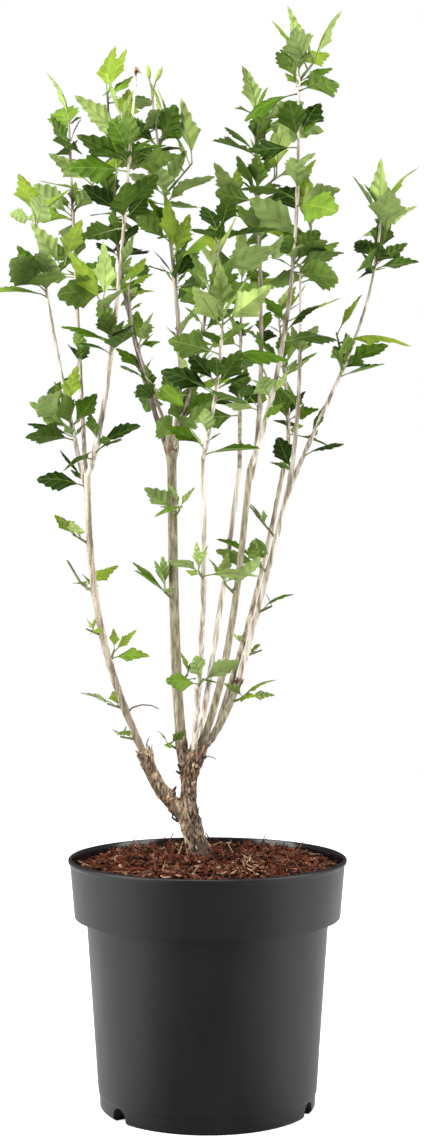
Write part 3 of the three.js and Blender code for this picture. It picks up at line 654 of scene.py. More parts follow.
trial = []
add_rosette(trial, seeded_draw(1), "middle_foliage", stems["middle_foliage"], 0.5, 4, {})
print("leaves of a trial rosette, 4 at most:", len(trial))

# %% [markdown]
# The solid model stops at leaves that are large enough to make solid. Here the same rule goes one step
# finer: after a mass has its large leaves, each node also gets small young leaves in the gaps that are left.

# %% Grow the whole plant
TWIG_NODE, TWIG_LEAVES = 6, 3  # a node with this many leaves may bear a twig, and how many that has
FINE_APART, FINE_SCALES, FINE_LIFT = 8, (0.4, 0.68), 8  # mm, shares of a large leaf, degrees
SPRAY_FINE = 0.8  # the small leaves of a spray beside those of a mass

leaves, twigs = [], []
for name in [*SHOOTS, *SPRAYS]:
    part = SHOOTS.get(name)
    nodes = part["nodes"] if part else ((1, SPRAYS[name][3]),)
    draw = seeded_draw(part["seed"] if part else SPRAYS[name][5])
    mass = []
    for number, (share, count) in enumerate(nodes):
        marks = dict(owner=name, node=number, tip=share == 1, fine=False)
        add_rosette(mass, draw, name, stems[name], share, count, marks)
        twig = side_twig(draw, name, stems[name], share) if count >= TWIG_NODE else None
        if twig:
            twigs.append(twig)
            add_rosette(mass, draw, name, twig, 1, TWIG_LEAVES, {**marks, "tip": True})
    for number, (share, count) in enumerate(nodes):
        marks = dict(owner=name, node=number, tip=share == 1, fine=True)
        for _ in range((count + 1) // 2 if part else 1):
            place = min(max(share + (draw() - 0.6) * ROSETTE / stems[name].span, 0.03), 0.99)
            scale = between(*FINE_SCALES, draw()) * (1 if part else SPRAY_FINE)
            turn = draw() * math.tau
            root = stems[name].point(place)
            try_leaf(mass, draw, name, root, turn, draw(), (scale, FINE_LIFT), FINE_APART, marks)
    leaves += mass
large = sum(not leaf["fine"] for leaf in leaves)
print("large leaves:", large, "small leaves:", len(leaves) - large, "side twigs:", len(twigs))

# %% [markdown]
# ## The leaf's blade
# A rose of sharon leaf is a toothed diamond with three lobes. Half of its outline is drawn as a few points,
# filled, cut along its side veins so that it can bend there, and mirrored over the midrib. A copy of it, a
# little lower in the middle, closes it into a very thin lens. A closed blade is lit right on both sides,
# and it needs only a few dozen faces, which matters for something repeated hundreds of times. Each cut runs
# from a corner of the rim to the midrib, so no face lies wholly on the rim, where both sides meet.

# %% Model the blades
HALF_BLADES = {  # (along the midrib, out from it), as shares of the blade's length
    "broad": ((0, 0), (0.17, 0.09), (0.31, 0.2), (0.44, 0.32), (0.51, 0.28), (0.6, 0.33), (0.65, 0.24),
              (0.77, 0.24), (0.82, 0.15), (0.94, 0.11), (1, 0)),
    "lobed": ((0, 0), (0.17, 0.1), (0.32, 0.21), (0.46, 0.34), (0.52, 0.29), (0.57, 0.3), (0.61, 0.2),
              (0.75, 0.19), (0.8, 0.11), (0.92, 0.08), (1, 0)),
    "young": ((0, 0), (0.15, 0.09), (0.3, 0.19), (0.41, 0.28), (0.46, 0.2), (0.52, 0.21), (0.57, 0.14),
              (0.7, 0.14), (0.75, 0.09), (0.88, 0.07), (1, 0)),
}
VEIN_SLANT = 0.95  # how far a side vein runs along the leaf for each step out
LENS = 0.006  # how far the middle of each side stands off, as a share of the length


def model_blade(half):
    """A closed thin blade, 1 long, from half its outline: its points, its triangles and which face down."""
    bm = bmesh.new()
    rim = [bm.verts.new((along, out, 0)) for along, out in half]
    for pair in zip(rim, rim[1:] + rim[:1]):
        bm.edges.new(pair)
    bmesh.ops.contextual_create(bm, geom=bm.edges[:])
    for along, out in half[1:-1]:
        geom = bm.verts[:] + bm.edges[:] + bm.faces[:]
        cut = {"plane_co": (along, out, 0), "plane_no": (1, -VEIN_SLANT, 0), "dist": 0.0001}
        bmesh.ops.bisect_plane(bm, geom=geom, **cut)
    geom = bm.verts[:] + bm.edges[:] + bm.faces[:]
    bmesh.ops.mirror(bm, geom=geom, matrix=Matrix.Identity(4), merge_dist=0.0001, axis="Y")
    bmesh.ops.recalc_face_normals(bm, faces=bm.faces)
    if sum(f.normal.z for f in bm.faces) < 0:
        bmesh.ops.reverse_faces(bm, faces=bm.faces)
    top = bm.verts[:] + bm.edges[:] + bm.faces[:]
    under = bmesh.ops.duplicate(bm, geom=top)["geom"]
    bmesh.ops.reverse_faces(bm, faces=[g for g in under if isinstance(g, bmesh.types.BMFace)])
    for geom, height in ((top, LENS), (under, -LENS)):
        inner = [g for g in geom if isinstance(g, bmesh.types.BMVert) and abs(g.co.y) < 0.001]
        bmesh.ops.translate(bm, verts=[v for v in inner if 0.01 < v.co.x < 0.99], vec=(0, 0, height))
    bmesh.ops.remove_doubles(bm, verts=bm.verts, dist=0.0001)
    bmesh.ops.triangulate(bm, faces=bm.faces)
    bm.verts.index_update()
    points = np.array([v.co for v in bm.verts])
    triangles = np.array([[v.index for v in f.verts] for f in bm.faces])
    under_side = np.array([f.normal.z < 0 for f in bm.faces])
    open_edges = sum(not e.is_manifold for e in bm.edges)
    bm.free()
    return points, triangles, under_side, open_edges


blades = {}
for kind, half in HALF_BLADES.items():
    *blades[kind], open_edges = model_blade(half)
    print(kind, "triangles:", len(blades[kind][1]), "open edges:", open_edges)

# %% [markdown]
# ## Many small things as one mesh
# Hundreds of leaves as separate objects would be slow, so each kind is joined. A small collector gathers
# points, triangles, material numbers and leaf coordinates as arrays, and makes one mesh of them.

# %% A collector for joined meshes
class Gathered:
    """Small closed shapes that become one mesh."""

    def __init__(self):
        self.points, self.triangles, self.slots, self.places = [], [], [], []
        self.count = 0

    def add(self, points, triangles, slots=0, places=None):
        self.points.append(np.asarray(points, float))
        self.triangles.append(np.asarray(triangles) + self.count)
        self.slots.append(np.broadcast_to(slots, len(triangles)))
        self.places.append(np.zeros((len(points), 2)) if places is None else places)
        self.count += len(points)

    def mesh(self, name):
        """All of it as one mesh in metres. places become the UV map called blade."""
        points = np.concatenate(self.points) * MM
        triangles = np.concatenate(self.triangles)
        mesh = bpy.data.meshes.new(name)
        mesh.vertices.add(len(points))
        mesh.vertices.foreach_set("co", points.ravel())
        mesh.loops.add(triangles.size)
        mesh.loops.foreach_set("vertex_index", triangles.ravel())
        mesh.polygons.add(len(triangles))
        mesh.polygons.foreach_set("loop_start", np.arange(0, triangles.size, 3))
        mesh.polygons.foreach_set("material_index", np.concatenate(self.slots))
        layer = mesh.uv_layers.new(name="blade")
        layer.uv.foreach_set("vector", np.concatenate(self.places)[triangles.ravel()].ravel())
        mesh.update(calc_edges=True)
        mesh.validate()
        return mesh


trial = Gathered()
trial.add(np.eye(3), [[0, 1, 2]])
trial.add(np.eye(3), [[0, 1, 2]])
print("points of two triangles gathered:", trial.count)

# %% A closed tube
def tube(points, radii, sides):
    """A closed round tube through a row of points, as points and triangles."""
    points = np.array(points)
    headings = np.gradient(points, axis=0)
    headings /= np.linalg.norm(headings, axis=1)[:, None]
    across = np.array([0, 1.0, 0]) if abs(headings[len(points) // 2, 2]) > 0.7 else np.array([0, 0, 1.0])
    side = np.cross(headings, across)
    side /= np.linalg.norm(side, axis=1)[:, None]
    front = np.cross(side, headings)
    turns = np.arange(sides) * math.tau / sides
    around = np.cos(turns)[None, :, None] * side[:, None] + np.sin(turns)[None, :, None] * front[:, None]
    rings = points[:, None] + around * np.reshape(radii, (len(points), -1, 1))
    low = np.arange(len(points) - 1)[:, None] * sides + np.arange(sides)
    right = np.arange(len(points) - 1)[:, None] * sides + (np.arange(sides) + 1) % sides
    walls = np.stack([low, low + sides, right, right, low + sides, right + sides], -1).reshape(-1, 3)
    fan = np.array([[0, i, i + 1] for i in range(1, sides - 1)])
    caps = np.concatenate([fan, fan[:, ::-1] + (len(points) - 1) * sides])
    return rings.reshape(-1, 3), np.concatenate([walls, caps])


def volume(points, triangles):
    """A closed shape's volume, which is positive where its faces point outwards."""
    a, b, c = (points[triangles[:, i]] for i in range(3))
    return float(np.einsum("ij,ij->", a, np.cross(b, c)) / 6)


trial = tube([(0, 0, 0), (0, 0, 5), (0, 0, 10)], [1, 1, 1], 8)
print("a trial tube's volume in mm3, near 28:", round(volume(*trial), 2))

# %% [markdown]
# ## Leaf tissue
# A leaf is a waxy skin over green cells. The upper side is darker and a little glossy, the underside paler
# and dull. Pale veins run from the midrib into the teeth, and the blade puffs up between them. Old leaves
# are deep green and young ones yellow-green, so leaves are dealt out in four tones, one mesh to each tone.

# %% Leaf materials
TONES = {  # upper side, underside
    "dark": ("#213903", "#4c6821"),
    "green": ("#48690f", "#6e8a3a"),
    "light": ("#6c8a2a", "#96ad64"),
    "young": ("#7e962c", "#a4ba68"),
}
VEIN_PAIRS = 4.5
MIDRIB_EDGE, VEIN_EDGE = (0.006, 0.02), (0.03, 0.1)  # between these, out from its middle, a vein fades
VEIN_PALENESS = 0.6  # a side vein's, beside the midrib's
SHADE, VEIN_SHADE, VEIN_TINT = 0.62, 0.8, (0.1, 0.12, 0.03)  # the darker clouds, and the veins' colour


def leaf_material(name, colour, roughness, vein_share):
    """Leaf tissue: a base colour, pale veins and soft mottling, from the blade's own coordinates."""
    material, tree = new_material(name)
    blade = add_node(tree, "ShaderNodeUVMap", uv_map="blade").outputs[0]
    parts = add_node(tree, "ShaderNodeSeparateXYZ", {0: blade})
    out = add_node(tree, "ShaderNodeMath", {0: parts.outputs[1]}, operation="ABSOLUTE").outputs[0]
    back = add_node(tree, "ShaderNodeMath", {0: out, 1: -VEIN_SLANT}, operation="MULTIPLY").outputs[0]
    along = add_node(tree, "ShaderNodeMath", {0: parts.outputs[0], 1: back}, operation="ADD").outputs[0]
    counted = add_node(tree, "ShaderNodeMath", {0: along, 1: VEIN_PAIRS}, operation="MULTIPLY").outputs[0]
    puff = add_node(tree, "ShaderNodeMath", {0: counted, 1: 0.5}, operation="PINGPONG").outputs[0]
    midrib = {"Value": out, 1: MIDRIB_EDGE[0], 2: MIDRIB_EDGE[1], 3: 1.0, 4: 0.0}
    midrib = add_node(tree, "ShaderNodeMapRange", midrib).outputs[0]
    side_vein = {"Value": puff, 1: VEIN_EDGE[0], 2: VEIN_EDGE[1], 3: VEIN_PALENESS, 4: 0.0}
    side_vein = add_node(tree, "ShaderNodeMapRange", side_vein).outputs[0]
    veins = add_node(tree, "ShaderNodeMath", {0: midrib, 1: side_vein}, operation="MAXIMUM").outputs[0]
    shown = add_node(tree, "ShaderNodeMath", {0: veins, 1: vein_share}, operation="MULTIPLY").outputs[0]
    base = linear(colour)
    darker = [c * SHADE for c in base[:3]] + [1.0]
    paler = [c * VEIN_SHADE + tint for c, tint in zip(base, VEIN_TINT)] + [1.0]
    mottle = patterned(tree, 70, 0.35, 0.65)  # clouds of 14 mm
    relief = {"Height": puff, "Strength": 1.0, "Distance": 0.0015}
    finish_material(tree, {
        "Base Color": coats(tree, darker, (mottle, base), (shown, paler)),
        "Roughness": roughness,
        "IOR": 1.42,
        "Specular IOR Level": 0.12,
        "Normal": add_node(tree, "ShaderNodeBump", relief).outputs[0],
    })
    return material


leaf_tissue = {}
for tone, (upper, lower) in TONES.items():
    upper_skin = leaf_material(tone + "_leaf_upper_skin", upper, roughness=0.48, vein_share=0.56)
    under_skin = leaf_material(tone + "_leaf_under_skin", lower, roughness=0.7, vein_share=0.62)
    leaf_tissue[tone] = [upper_skin, under_skin]
print("leaf materials:", 2 * len(leaf_tissue))

# %% [markdown]
# ## Hanging the leaves
# Every leaf gets its own bend. It droops along its length, folds a little up or down from the midrib, and
# its edge waves. The stalk and the midrib are one slim tube on the same curve, so no blade comes loose.

# %% Deal out the tones
TONE_LIMITS = {"dark": 0.4, "green": 0.82, "light": 1.1}  # the first limit above a choice gives its tone
TONE_PLAY = 0.22  # how far the leaves of one spray differ
SPRAY_PALER, SMALL_PALER, YOUNGEST_PALER = 0.5, 0.25, 0.18  # added to the choice
chance = np.random.default_rng(7)


def pick_tone(leaf):
    """Young at the tips, and otherwise one of the older tones, dealt out spray by spray."""
    spray = seeded_draw(order.index(leaf["owner"]) * 31 + leaf["node"] * 7 + 3)
    spray()
    choice = spray() + TONE_PLAY * (chance.random() - 0.5)
    if leaf["tip"] and leaf["owner"] in SHOOTS:
        return "young" if leaf["age"] > 0.45 or choice > 0.7 else "light"
    if leaf["owner"] in SPRAYS:
        choice += SPRAY_PALER
    if leaf["fine"]:
        choice += SMALL_PALER
    if leaf["age"] > 0.8:
        choice += YOUNGEST_PALER
    for tone, limit in TONE_LIMITS.items():
        if choice < limit:
            return tone
    return "young"


print("tones:", *TONE_LIMITS, "young")

# %% Bend a blade into place
STALK = 0.17  # the stalk's share of a leaf's length
FOLD_REST = 0.14  # how far out from the midrib a folded blade keeps its place
DROOPS, FOLDS, TWIST = (0.3, 2.6), (-0.4, 0.45), 0.12  # how much the leaves differ
WAVE_HEIGHTS, WAVE_STEPS = (0.004, 0.02), 9  # the wavy edge's height, as a share, and its waves
RIB_PLACES = np.array([-0.01, 0.08, STALK, 0.42, 0.68, 0.9])  # along the leaf, from the stalk's foot
RIB_TAPER = np.array([1.1, 0.8, 0.75, 0.55, 0.36, 0.16])  # how thick stalk and midrib are there


def place_leaf(leaf, blade, stalks, gathered):
    """Bends one blade into place, with its stalk and midrib."""
    points, triangles, under_side = blade
    length = leaf["length"]
    droop = DROOP * chance.uniform(*DROOPS)
    fold = chance.uniform(*FOLDS)
    wave, phase = chance.uniform(*WAVE_HEIGHTS), chance.uniform(0, math.tau)
    twist = chance.normal(0, TWIST)
    u, v = points[:, 0], points[:, 1]
    along = STALK + (1 - STALK) * u
    out = (1 - STALK) * v
    rest = FOLD_REST * np.sin(math.pi * u)
    up = (1 - STALK) * points[:, 2] - droop * along**2 + fold * (np.abs(out) - rest)
    up += wave * np.sin(WAVE_STEPS * u + phase) * np.abs(v) / 0.3 + twist * v * u
    place = np.outer(along, leaf["heading"]) + np.outer(out, leaf["side"]) + np.outer(up, leaf["face"])
    gathered.add(leaf["root"] + place * length, triangles, under_side.astype(int), points[:, :2])
    rib = np.clip((RIB_PLACES - STALK) / (1 - STALK), 0, 1)
    lift = -droop * RIB_PLACES**2 - fold * FOLD_REST * np.sin(math.pi * rib)
    middle = leaf["root"] + (np.outer(RIB_PLACES, leaf["heading"]) + np.outer(lift, leaf["face"])) * length
    stalks.add(*tube(middle, (0.4 + 0.5 * length / 50) * RIB_TAPER, 3))


print("the deepest droop, as a share of a leaf's length:", round(DROOP * DROOPS[1], 2))

# %% Hang them all
BROAD_SHARE, YOUNG_BELOW = 0.6, 26  # the broad blades' share, and the length in mm below which one is young

leaf_meshes = {tone: Gathered() for tone in TONES}
stalks = Gathered()
for leaf in leaves:
    tone = pick_tone(leaf)
    kind = "broad" if chance.random() < BROAD_SHARE else "lobed"
    if tone == "young" or leaf["length"] < YOUNG_BELOW:
        kind = "young"
    place_leaf(leaf, blades[kind], stalks, leaf_meshes[tone])

masses = [*SHOOTS, *SPRAYS]  # the solids that the leaves and stalks stand for
for tone, gathered in leaf_meshes.items():
    finish_piece(tone + "_leaves", gathered.mesh(tone), leaf_tissue[tone], masses)

# %% [markdown]
# ## Stalks and green wood
# Leaf stalks are soft pale green with a little red where the sun strikes them.

# %% Stalk material
stalk_skin, tree = new_material("soft_green_stalk_skin")
flush = patterned(tree, 60, 0.45, 0.7)  # red stretches of 17 mm
finish_material(tree, {"Base Color": coats(tree, "#71853c", (flush, "#5f4a38")), "Roughness": 0.5})
finish_piece("leaf_stalks", stalks.mesh("stalks"), [stalk_skin], masses, smooth_below=80)

# %% [markdown]
# ## Closed buds
# One shoot ends in two closed flower buds, each a pale green spindle on its own short stalk.

# %% Two flower buds
BUD_SHOOT, BUD_LENGTH = "centre_tall_foliage", 13
BUD_FORM = ((0, 0.6), (0.14, 1.5), (0.4, 2.1), (0.66, 1.9), (0.86, 1.1), (1, 0.3))  # share, radius in mm
BUD_STALKS = (  # from the shoot's tip, in mm: a point half way up, the bud's foot, and the way it points
    ((-0.6, 0, 9), (-2.6, 1, 17.5), (-0.12, 0.1, 1)),
    ((0.8, -0.5, 9), (3, -1, 15.5), (0.45, -0.1, 1)),
)
buds = Gathered()
shoot_tip = stems[BUD_SHOOT].tip
for bend, foot, way in BUD_STALKS:
    stalk = [shoot_tip - (0, 0, 1), shoot_tip + bend, shoot_tip + foot]
    buds.add(*tube(stalk, (0.9, 0.75, 0.6), 6), 1)
    middle = [shoot_tip + foot + unit(np.array(way)) * BUD_LENGTH * share for share, _ in BUD_FORM]
    buds.add(*tube(middle, [radius for _, radius in BUD_FORM], 8))
bud_skins = [leaf_tissue["light"][1], stalk_skin]
finish_piece("flower_buds", buds.mesh("buds"), bud_skins, [BUD_SHOOT], smooth_below=80)

# %% [markdown]
# ## Ripened bark
# Last year's shoots have ripened from green to a thin smooth bark, beige and almost white where the light
# falls on it, brown or dark on some. It carries tiny corky dots and a ring at every old node. The noise is
# drawn out along the stem, because bark cells are long.

# %% Bark of the shoots and rods
OLD_BELOW = (0.29, 0.41)  # heights in metres between which the bark turns from older and darker to pale


def ramp_along(tree, axis, start, end, low=0.0, high=1.0):
    """A value that runs from low to high between two places along an axis of the object, in metres."""
    place = add_node(tree, "ShaderNodeTexCoord").outputs["Object"]
    reached = add_node(tree, "ShaderNodeSeparateXYZ", {0: place}).outputs[axis]
    ramp = {"Value": reached, 1: start, 2: end, 3: low, 4: high}
    return add_node(tree, "ShaderNodeMapRange", ramp).outputs[0]


def shoot_bark(name, pale, deep, old_share=0.75, roughness=0.7):
    """Thin ripened bark: two tones in streaks along the stem, and fine corky dots."""
    material, tree = new_material(name)
    streaks = patterned(tree, 330, 0.38, 0.64, stretch=(1, 1, 0.06))  # 3 mm wide, 50 mm long
    dots = patterned(tree, 1500, 0.62, 0.72, strength=0.6, stretch=(1, 1, 0.6))  # under 1 mm
    older = ramp_along(tree, "Z", *OLD_BELOW, old_share, 0.0)
    speck = [c * 0.45 for c in linear(deep)[:3]] + [1.0]
    relief = {"Height": streaks, "Strength": 0.5, "Distance": 0.0004}
    finish_material(tree, {
        "Base Color": coats(tree, pale, (streaks, deep), (older, deep), (dots, speck)),
        "Roughness": roughness,
        "Normal": add_node(tree, "ShaderNodeBump", relief).outputs[0],
    })
    return material


barks = {
    "pale": shoot_bark("pale_ripened_bark", "#e2dacb", "#7f6d59", old_share=0.0),  # pale down to its foot
    "brown": shoot_bark("brown_ripened_bark", "#bdb19d", "#5a4937"),
    "dark": shoot_bark("dark_ripened_bark", "#65554c", "#35292a"),
    "tan": shoot_bark("tan_ripened_bark", "#cdc1aa", "#635540"),
    "green": shoot_bark("green_shoot_skin", "#6a7a38", "#54492f", roughness=0.5),
}
bark_order = list(barks)
print("shoot barks:", bark_order)

# %% Shoots and side twigs
RING_STEP, SCAR_STEP = 4.0, 27.0  # mm between a stem's rings, and between old leaf scars
NODE_SWELL, SCAR_SWELL = (0.55, 3.2), (0.22, 2.4)  # how far a swelling stands out and reaches, in mm
SHOOT_SEEDS, ROD_SEEDS, SPRAY_SEEDS, TWIG_SEEDS = 0, 20, 50, 80
TWIG_RADIUS = (1.1, 0.7)


def jointed_stem(stem, radius, bumps, sides, seed, reach=1.0):
    """A stem with a swelling at each node and slight unevenness, as points and triangles."""
    count = max(4, round(stem.span * reach / RING_STEP))
    shares = np.linspace(0, reach, count + 1)
    points = np.array([stem.point(t) for t in shares])
    rng = np.random.default_rng(seed)
    scars = np.arange(rng.uniform(0.3, 1) * SCAR_STEP, stem.span * reach, SCAR_STEP) / stem.span
    radii = np.array([between(*radius, min(t, 1)) for t in shares])
    for places, extra, width in ((bumps, *NODE_SWELL), (scars, *SCAR_SWELL)):
        for place in places:
            radii = radii + extra * np.exp(-(((shares - place) * stem.span / width) ** 2))
    uneven = 1 + 0.05 * rng.standard_normal((len(shares), sides))
    return tube(points, radii[:, None] * uneven, sides)


shoot_meshes = Gathered()
green = bark_order.index("green")
for number, (name, part) in enumerate(SHOOTS.items(), SHOOT_SEEDS):
    bumps = [share for share, _ in part["nodes"] if share < 1]
    shape = jointed_stem(stems[name], part["radius"], bumps, 8, number)
    shoot_meshes.add(*shape, bark_order.index(part["bark"]))
for number, name in enumerate(SPRAYS, SPRAY_SEEDS):
    shoot_meshes.add(*jointed_stem(stems[name], SPRAY_RADIUS, [], 6, number), green)
for number, twig in enumerate(twigs, TWIG_SEEDS):
    shoot_meshes.add(*jointed_stem(twig, TWIG_RADIUS, [], 6, number), green)
finish_piece("shoot_stems", shoot_meshes.mesh("shoots"), barks.values(), masses, smooth_below=60)

# %% Rods
ROD_TONES = {
    "left_rod": "tan", "right_outer_rod": "pale", "right_back_rod": "tan",
    "middle_rod": "pale", "back_rod": "pale",
}
rod_meshes = Gathered()
for number, (name, tone) in enumerate(ROD_TONES.items(), ROD_SEEDS):
    bumps = [spray[1] for spray in SPRAYS.values() if spray[0] == name]
    shape = jointed_stem(stems[name], LIMBS[name]["radius"], bumps, 12, number, reach=1.005)
    rod_meshes.add(*shape, bark_order.index(tone))
finish_piece("rods", rod_meshes.mesh("rods"), barks.values(), list(ROD_TONES), smooth_below=60)

# %% [markdown]
# ## The old wood
# The trunk and boughs are several years old. Their bark is rough and cracked lengthwise, with knuckles where
# stems were pruned away. Each limb is a cylinder whose rings are laid along its curve. All of them are then
# remeshed together, which grows them into one skin as real limbs join, and a noise drawn out along the limb
# raises the bark's ridges.

# %% A limb's radius
TRUNK_FLARE, BOUGH_COLLAR = (2.2, 9), (1.4, 8)  # extra radius at the root, and the height it fades over
KNUCKLE = 8  # mm that a swelling reaches along its limb


def limb_radius(part, stem, t):
    """A limb's radius: its taper, its flare or collar at the root, and its knuckles."""
    radius = between(*part["radius"], min(max(t, 0), 1))
    extra, height = BOUGH_COLLAR if "on" in part else TRUNK_FLARE
    radius += extra * math.exp(-max(t, 0) * stem.span / height)
    for share, extra in part.get("swells", ()):
        radius += extra * math.exp(-(((t - share) * stem.span / KNUCKLE) ** 2))
    return radius


print("the trunk's radius at the soil in mm:", round(limb_radius(LIMBS["trunk"], stems["trunk"], 0), 1))

# %% Shape the limbs
BOUGHS = ("trunk", "left_bough", "centre_bough", "right_inner_bough", "right_outer_bough")
LIMB_RING, STUB_RING = 3.0, 2.0  # mm between rings
RAGGED, RAGGED_STUB = 3.0, 4.0  # how far a cut end is torn, in mm


def grow_tube(bm, stem, radius_at, sides, step, ragged):
    """Adds a closed tube: a cylinder cut into rings that are laid along the stem."""
    one = bmesh.new()
    ring = {"segments": sides, "radius1": 1, "radius2": 1, "depth": 1}
    bmesh.ops.create_cone(one, cap_ends=True, **ring)
    uprights = [e for e in one.edges if abs(e.verts[0].co.z - e.verts[1].co.z) > 0.5]
    bmesh.ops.subdivide_edges(one, edges=uprights, cuts=max(1, round(stem.span / step)))
    for v in one.verts:
        t = v.co.z + 0.5
        heading = stem.heading(t)
        side = unit(np.cross(heading, (0, 1, 0) if abs(heading[2]) > 0.7 else (0, 0, 1)))
        front = np.cross(side, heading)
        place = stem.point(t) + (side * v.co.x + front * v.co.y) * radius_at(t)
        if t > 0.99:
            place = place + heading * ragged * noise.noise(Vector(place) * 0.9)
        v.co = Vector(place) * MM
    scrap = bpy.data.meshes.new("limb")
    one.to_mesh(scrap)
    one.free()
    bm.from_mesh(scrap)
    bpy.data.meshes.remove(scrap)


wood_bm = bmesh.new()
for name in BOUGHS:
    part, stem = LIMBS[name], stems[name]
    grow_tube(wood_bm, stem, lambda t: limb_radius(part, stem, t), 20, LIMB_RING, RAGGED)
    for share, turn, length, radius in part.get("stubs", ()):
        out = unit(np.array([math.cos(math.radians(turn)), math.sin(math.radians(turn)), 0.8]))
        stub = Stem(stem.point(share), stem.point(share) + out * length)
        grow_tube(wood_bm, stub, lambda t: radius * (1.15 - 0.2 * t), 12, STUB_RING, RAGGED_STUB)
print("faces before remeshing:", len(wood_bm.faces))

# %% Grow them together
VOXEL = 0.95 * MM

blank = scratch_object("limbs", wood_bm)
joiner = blank.modifiers.new("join", "REMESH")
joiner.mode = "VOXEL"
joiner.voxel_size = VOXEL
wood_mesh = applied(blank)
print("faces of the joined wood:", len(wood_mesh.polygons))

# %% Raise the bark
THICK_AT, THIN_AT = 0.292, 0.318  # heights between which the bark turns from cracked to smooth, in metres
SMOOTH_LEFT = (-0.018, -0.026)  # places along X, in metres, beyond which the left bough is smoother too
SMOOTH_SHARE = 0.75  # how much smoother


def bark_relief(point):
    """How far the bark stands out at a point, in mm: ridges, lumps of 8 mm and a grain of 1 mm."""
    high = min(max((point.z - THICK_AT) / (THIN_AT - THICK_AT), 0), 1)
    aside = min(max((SMOOTH_LEFT[0] - point.x) / (SMOOTH_LEFT[0] - SMOOTH_LEFT[1]), 0), 1)
    old = 1 - max(high, SMOOTH_SHARE * aside)
    drawn_out = Vector((point.x * 330, point.y * 330, point.z * 75))  # ridges 3 mm apart, 13 mm long
    ridges = noise.ridged_multi_fractal(drawn_out, 0.9, 2.1, 3, 0.9, 2.0) - 1.2
    lumps = noise.fractal(point * 130, 1.0, 2.0, 3)
    grain = noise.noise(Vector((point.x * 900, point.y * 900, point.z * 400)))
    return old * (0.42 * ridges + 0.7 * lumps + 0.16 * grain) + (1 - old) * (0.12 * lumps + 0.1 * ridges)


normals = [v.vector.copy() for v in wood_mesh.vertex_normals]
for vertex, normal in zip(wood_mesh.vertices, normals):
    vertex.co += normal * bark_relief(vertex.co) * MM
print("bark vertices:", len(wood_mesh.vertices))

# %% [markdown]
# Old bark is grey-brown cork. Its ridges weather pale, its cracks stay dark, and green algae grows on it in
# patches. Painted light makes the trunk's left side paler and painted shade makes its right side darker, and
# painted shade darkens the bark where it faces down, chiefly on the left bough's underside. Above the fork
# the bark is younger, smooth and grey-beige.

# %% Cracked grey-brown bark
PAINTED_LIGHT_LEFT = (-0.012, -0.022)  # where the painted light on the trunk's left side begins, between these places along X, in metres

old_bark, tree = new_material("cracked_grey_brown_bark")
cracks = patterned(tree, 620, 0.4, 0.6, stretch=(1, 1, 0.4), detail=6.0)  # 1.6 mm apart, 4 mm long
patches = patterned(tree, 75, 0.4, 0.62)  # 13 mm
algae = patterned(tree, 48, 0.62, 0.72, strength=0.5)  # 21 mm
# Painted light and shade: the ridges are paler on the trunk's left side and darker on its right, as if lit
# from the left.
painted_light_side = ramp_along(tree, "X", *PAINTED_LIGHT_LEFT)
ridge_light = coats(tree, "#8f7b68", (painted_light_side, "#d0b999"))
ridge_dark = coats(tree, "#58473a", (painted_light_side, "#967d60"))
ridges = coats(tree, ridge_light, (patches, ridge_dark))
cracked_tone = coats(tree, "#281f1b", (cracks, ridges), (algae, "#66763a"))
print("nodes so far:", len(tree.nodes))

# %% The left bough's tone, and the young bark above the fork
left_streaks = patterned(tree, 420, 0.34, 0.58, stretch=(1, 1, 0.3))  # 2.4 mm wide, 8 mm long
# Painted shade: the left bough's bark is darker where its surface faces down.
facing = add_node(tree, "ShaderNodeNewGeometry").outputs["Normal"]
upward = add_node(tree, "ShaderNodeSeparateXYZ", {0: facing}).outputs["Z"]
painted_shade_below = add_node(tree, "ShaderNodeMapRange", {"Value": upward, 1: -0.5, 2: 0.3, 3: 0.8, 4: 0.0}).outputs[0]
left_tone = coats(tree, "#c9b193", (left_streaks, "#413226"), (painted_shade_below, "#352a20"))
young_streaks = patterned(tree, 520, 0.35, 0.65, stretch=(1, 1, 0.15))  # 2 mm wide, 13 mm long
young_tone = coats(tree, "#b0a78f", (young_streaks, "#6a6148"))
print("nodes so far:", len(tree.nodes))

# %% All three on one skin
aside = ramp_along(tree, "X", *SMOOTH_LEFT, 0.0, SMOOTH_SHARE)
high = ramp_along(tree, "Z", THICK_AT, THIN_AT)
dots = patterned(tree, 1300, 0.66, 0.74, strength=0.8, stretch=(1, 1, 0.7))  # corky, under 1 mm
relief = {"Height": cracks, "Strength": 0.6, "Distance": 0.0006}
finish_material(tree, {
    "Base Color": coats(tree, cracked_tone, (aside, left_tone), (high, young_tone), (dots, "#cbb99f")),
    "Roughness": 0.88,
    "Specular IOR Level": 0.2,
    "Normal": add_node(tree, "ShaderNodeBump", relief).outputs[0],
})
print("nodes of the old bark:", len(tree.nodes))

# %% Weathered wood of the pruning cuts
# Cut ends have dried to dull grey-yellow wood, with darker rays.
cut_wood, tree = new_material("weathered_cut_wood")
rays = patterned(tree, 700, 0.35, 0.65, stretch=(1, 1, 0.4))  # 1.4 mm wide
finish_material(tree, {"Base Color": coats(tree, "#a89c78", (rays, "#615838")), "Roughness": 0.85})

CUT_REACH, CUT_FACING = 6.5 * MM, 0.6
faces_on_cuts = 0
for name in BOUGHS:
    end, heading = Vector(stems[name].tip) * MM, Vector(stems[name].heading(1))
    for face in wood_mesh.polygons:
        if (face.center - end).length < CUT_REACH and face.normal.dot(heading) > CUT_FACING:
            face.material_index = 1
            faces_on_cuts += 1
finish_piece("old_wood", wood_mesh, [old_bark, cut_wood], BOUGHS, smooth_below=75)
print("faces of bare wood:", faces_on_cuts)

# %% [markdown]
# ## Torn bark at the cuts
# Round each pruning cut the bark has torn and curled back in flakes, rusty or pale inside and dark outside.
# Each flake is a bent sliver that lies along the limb, and they are joined as one mesh.

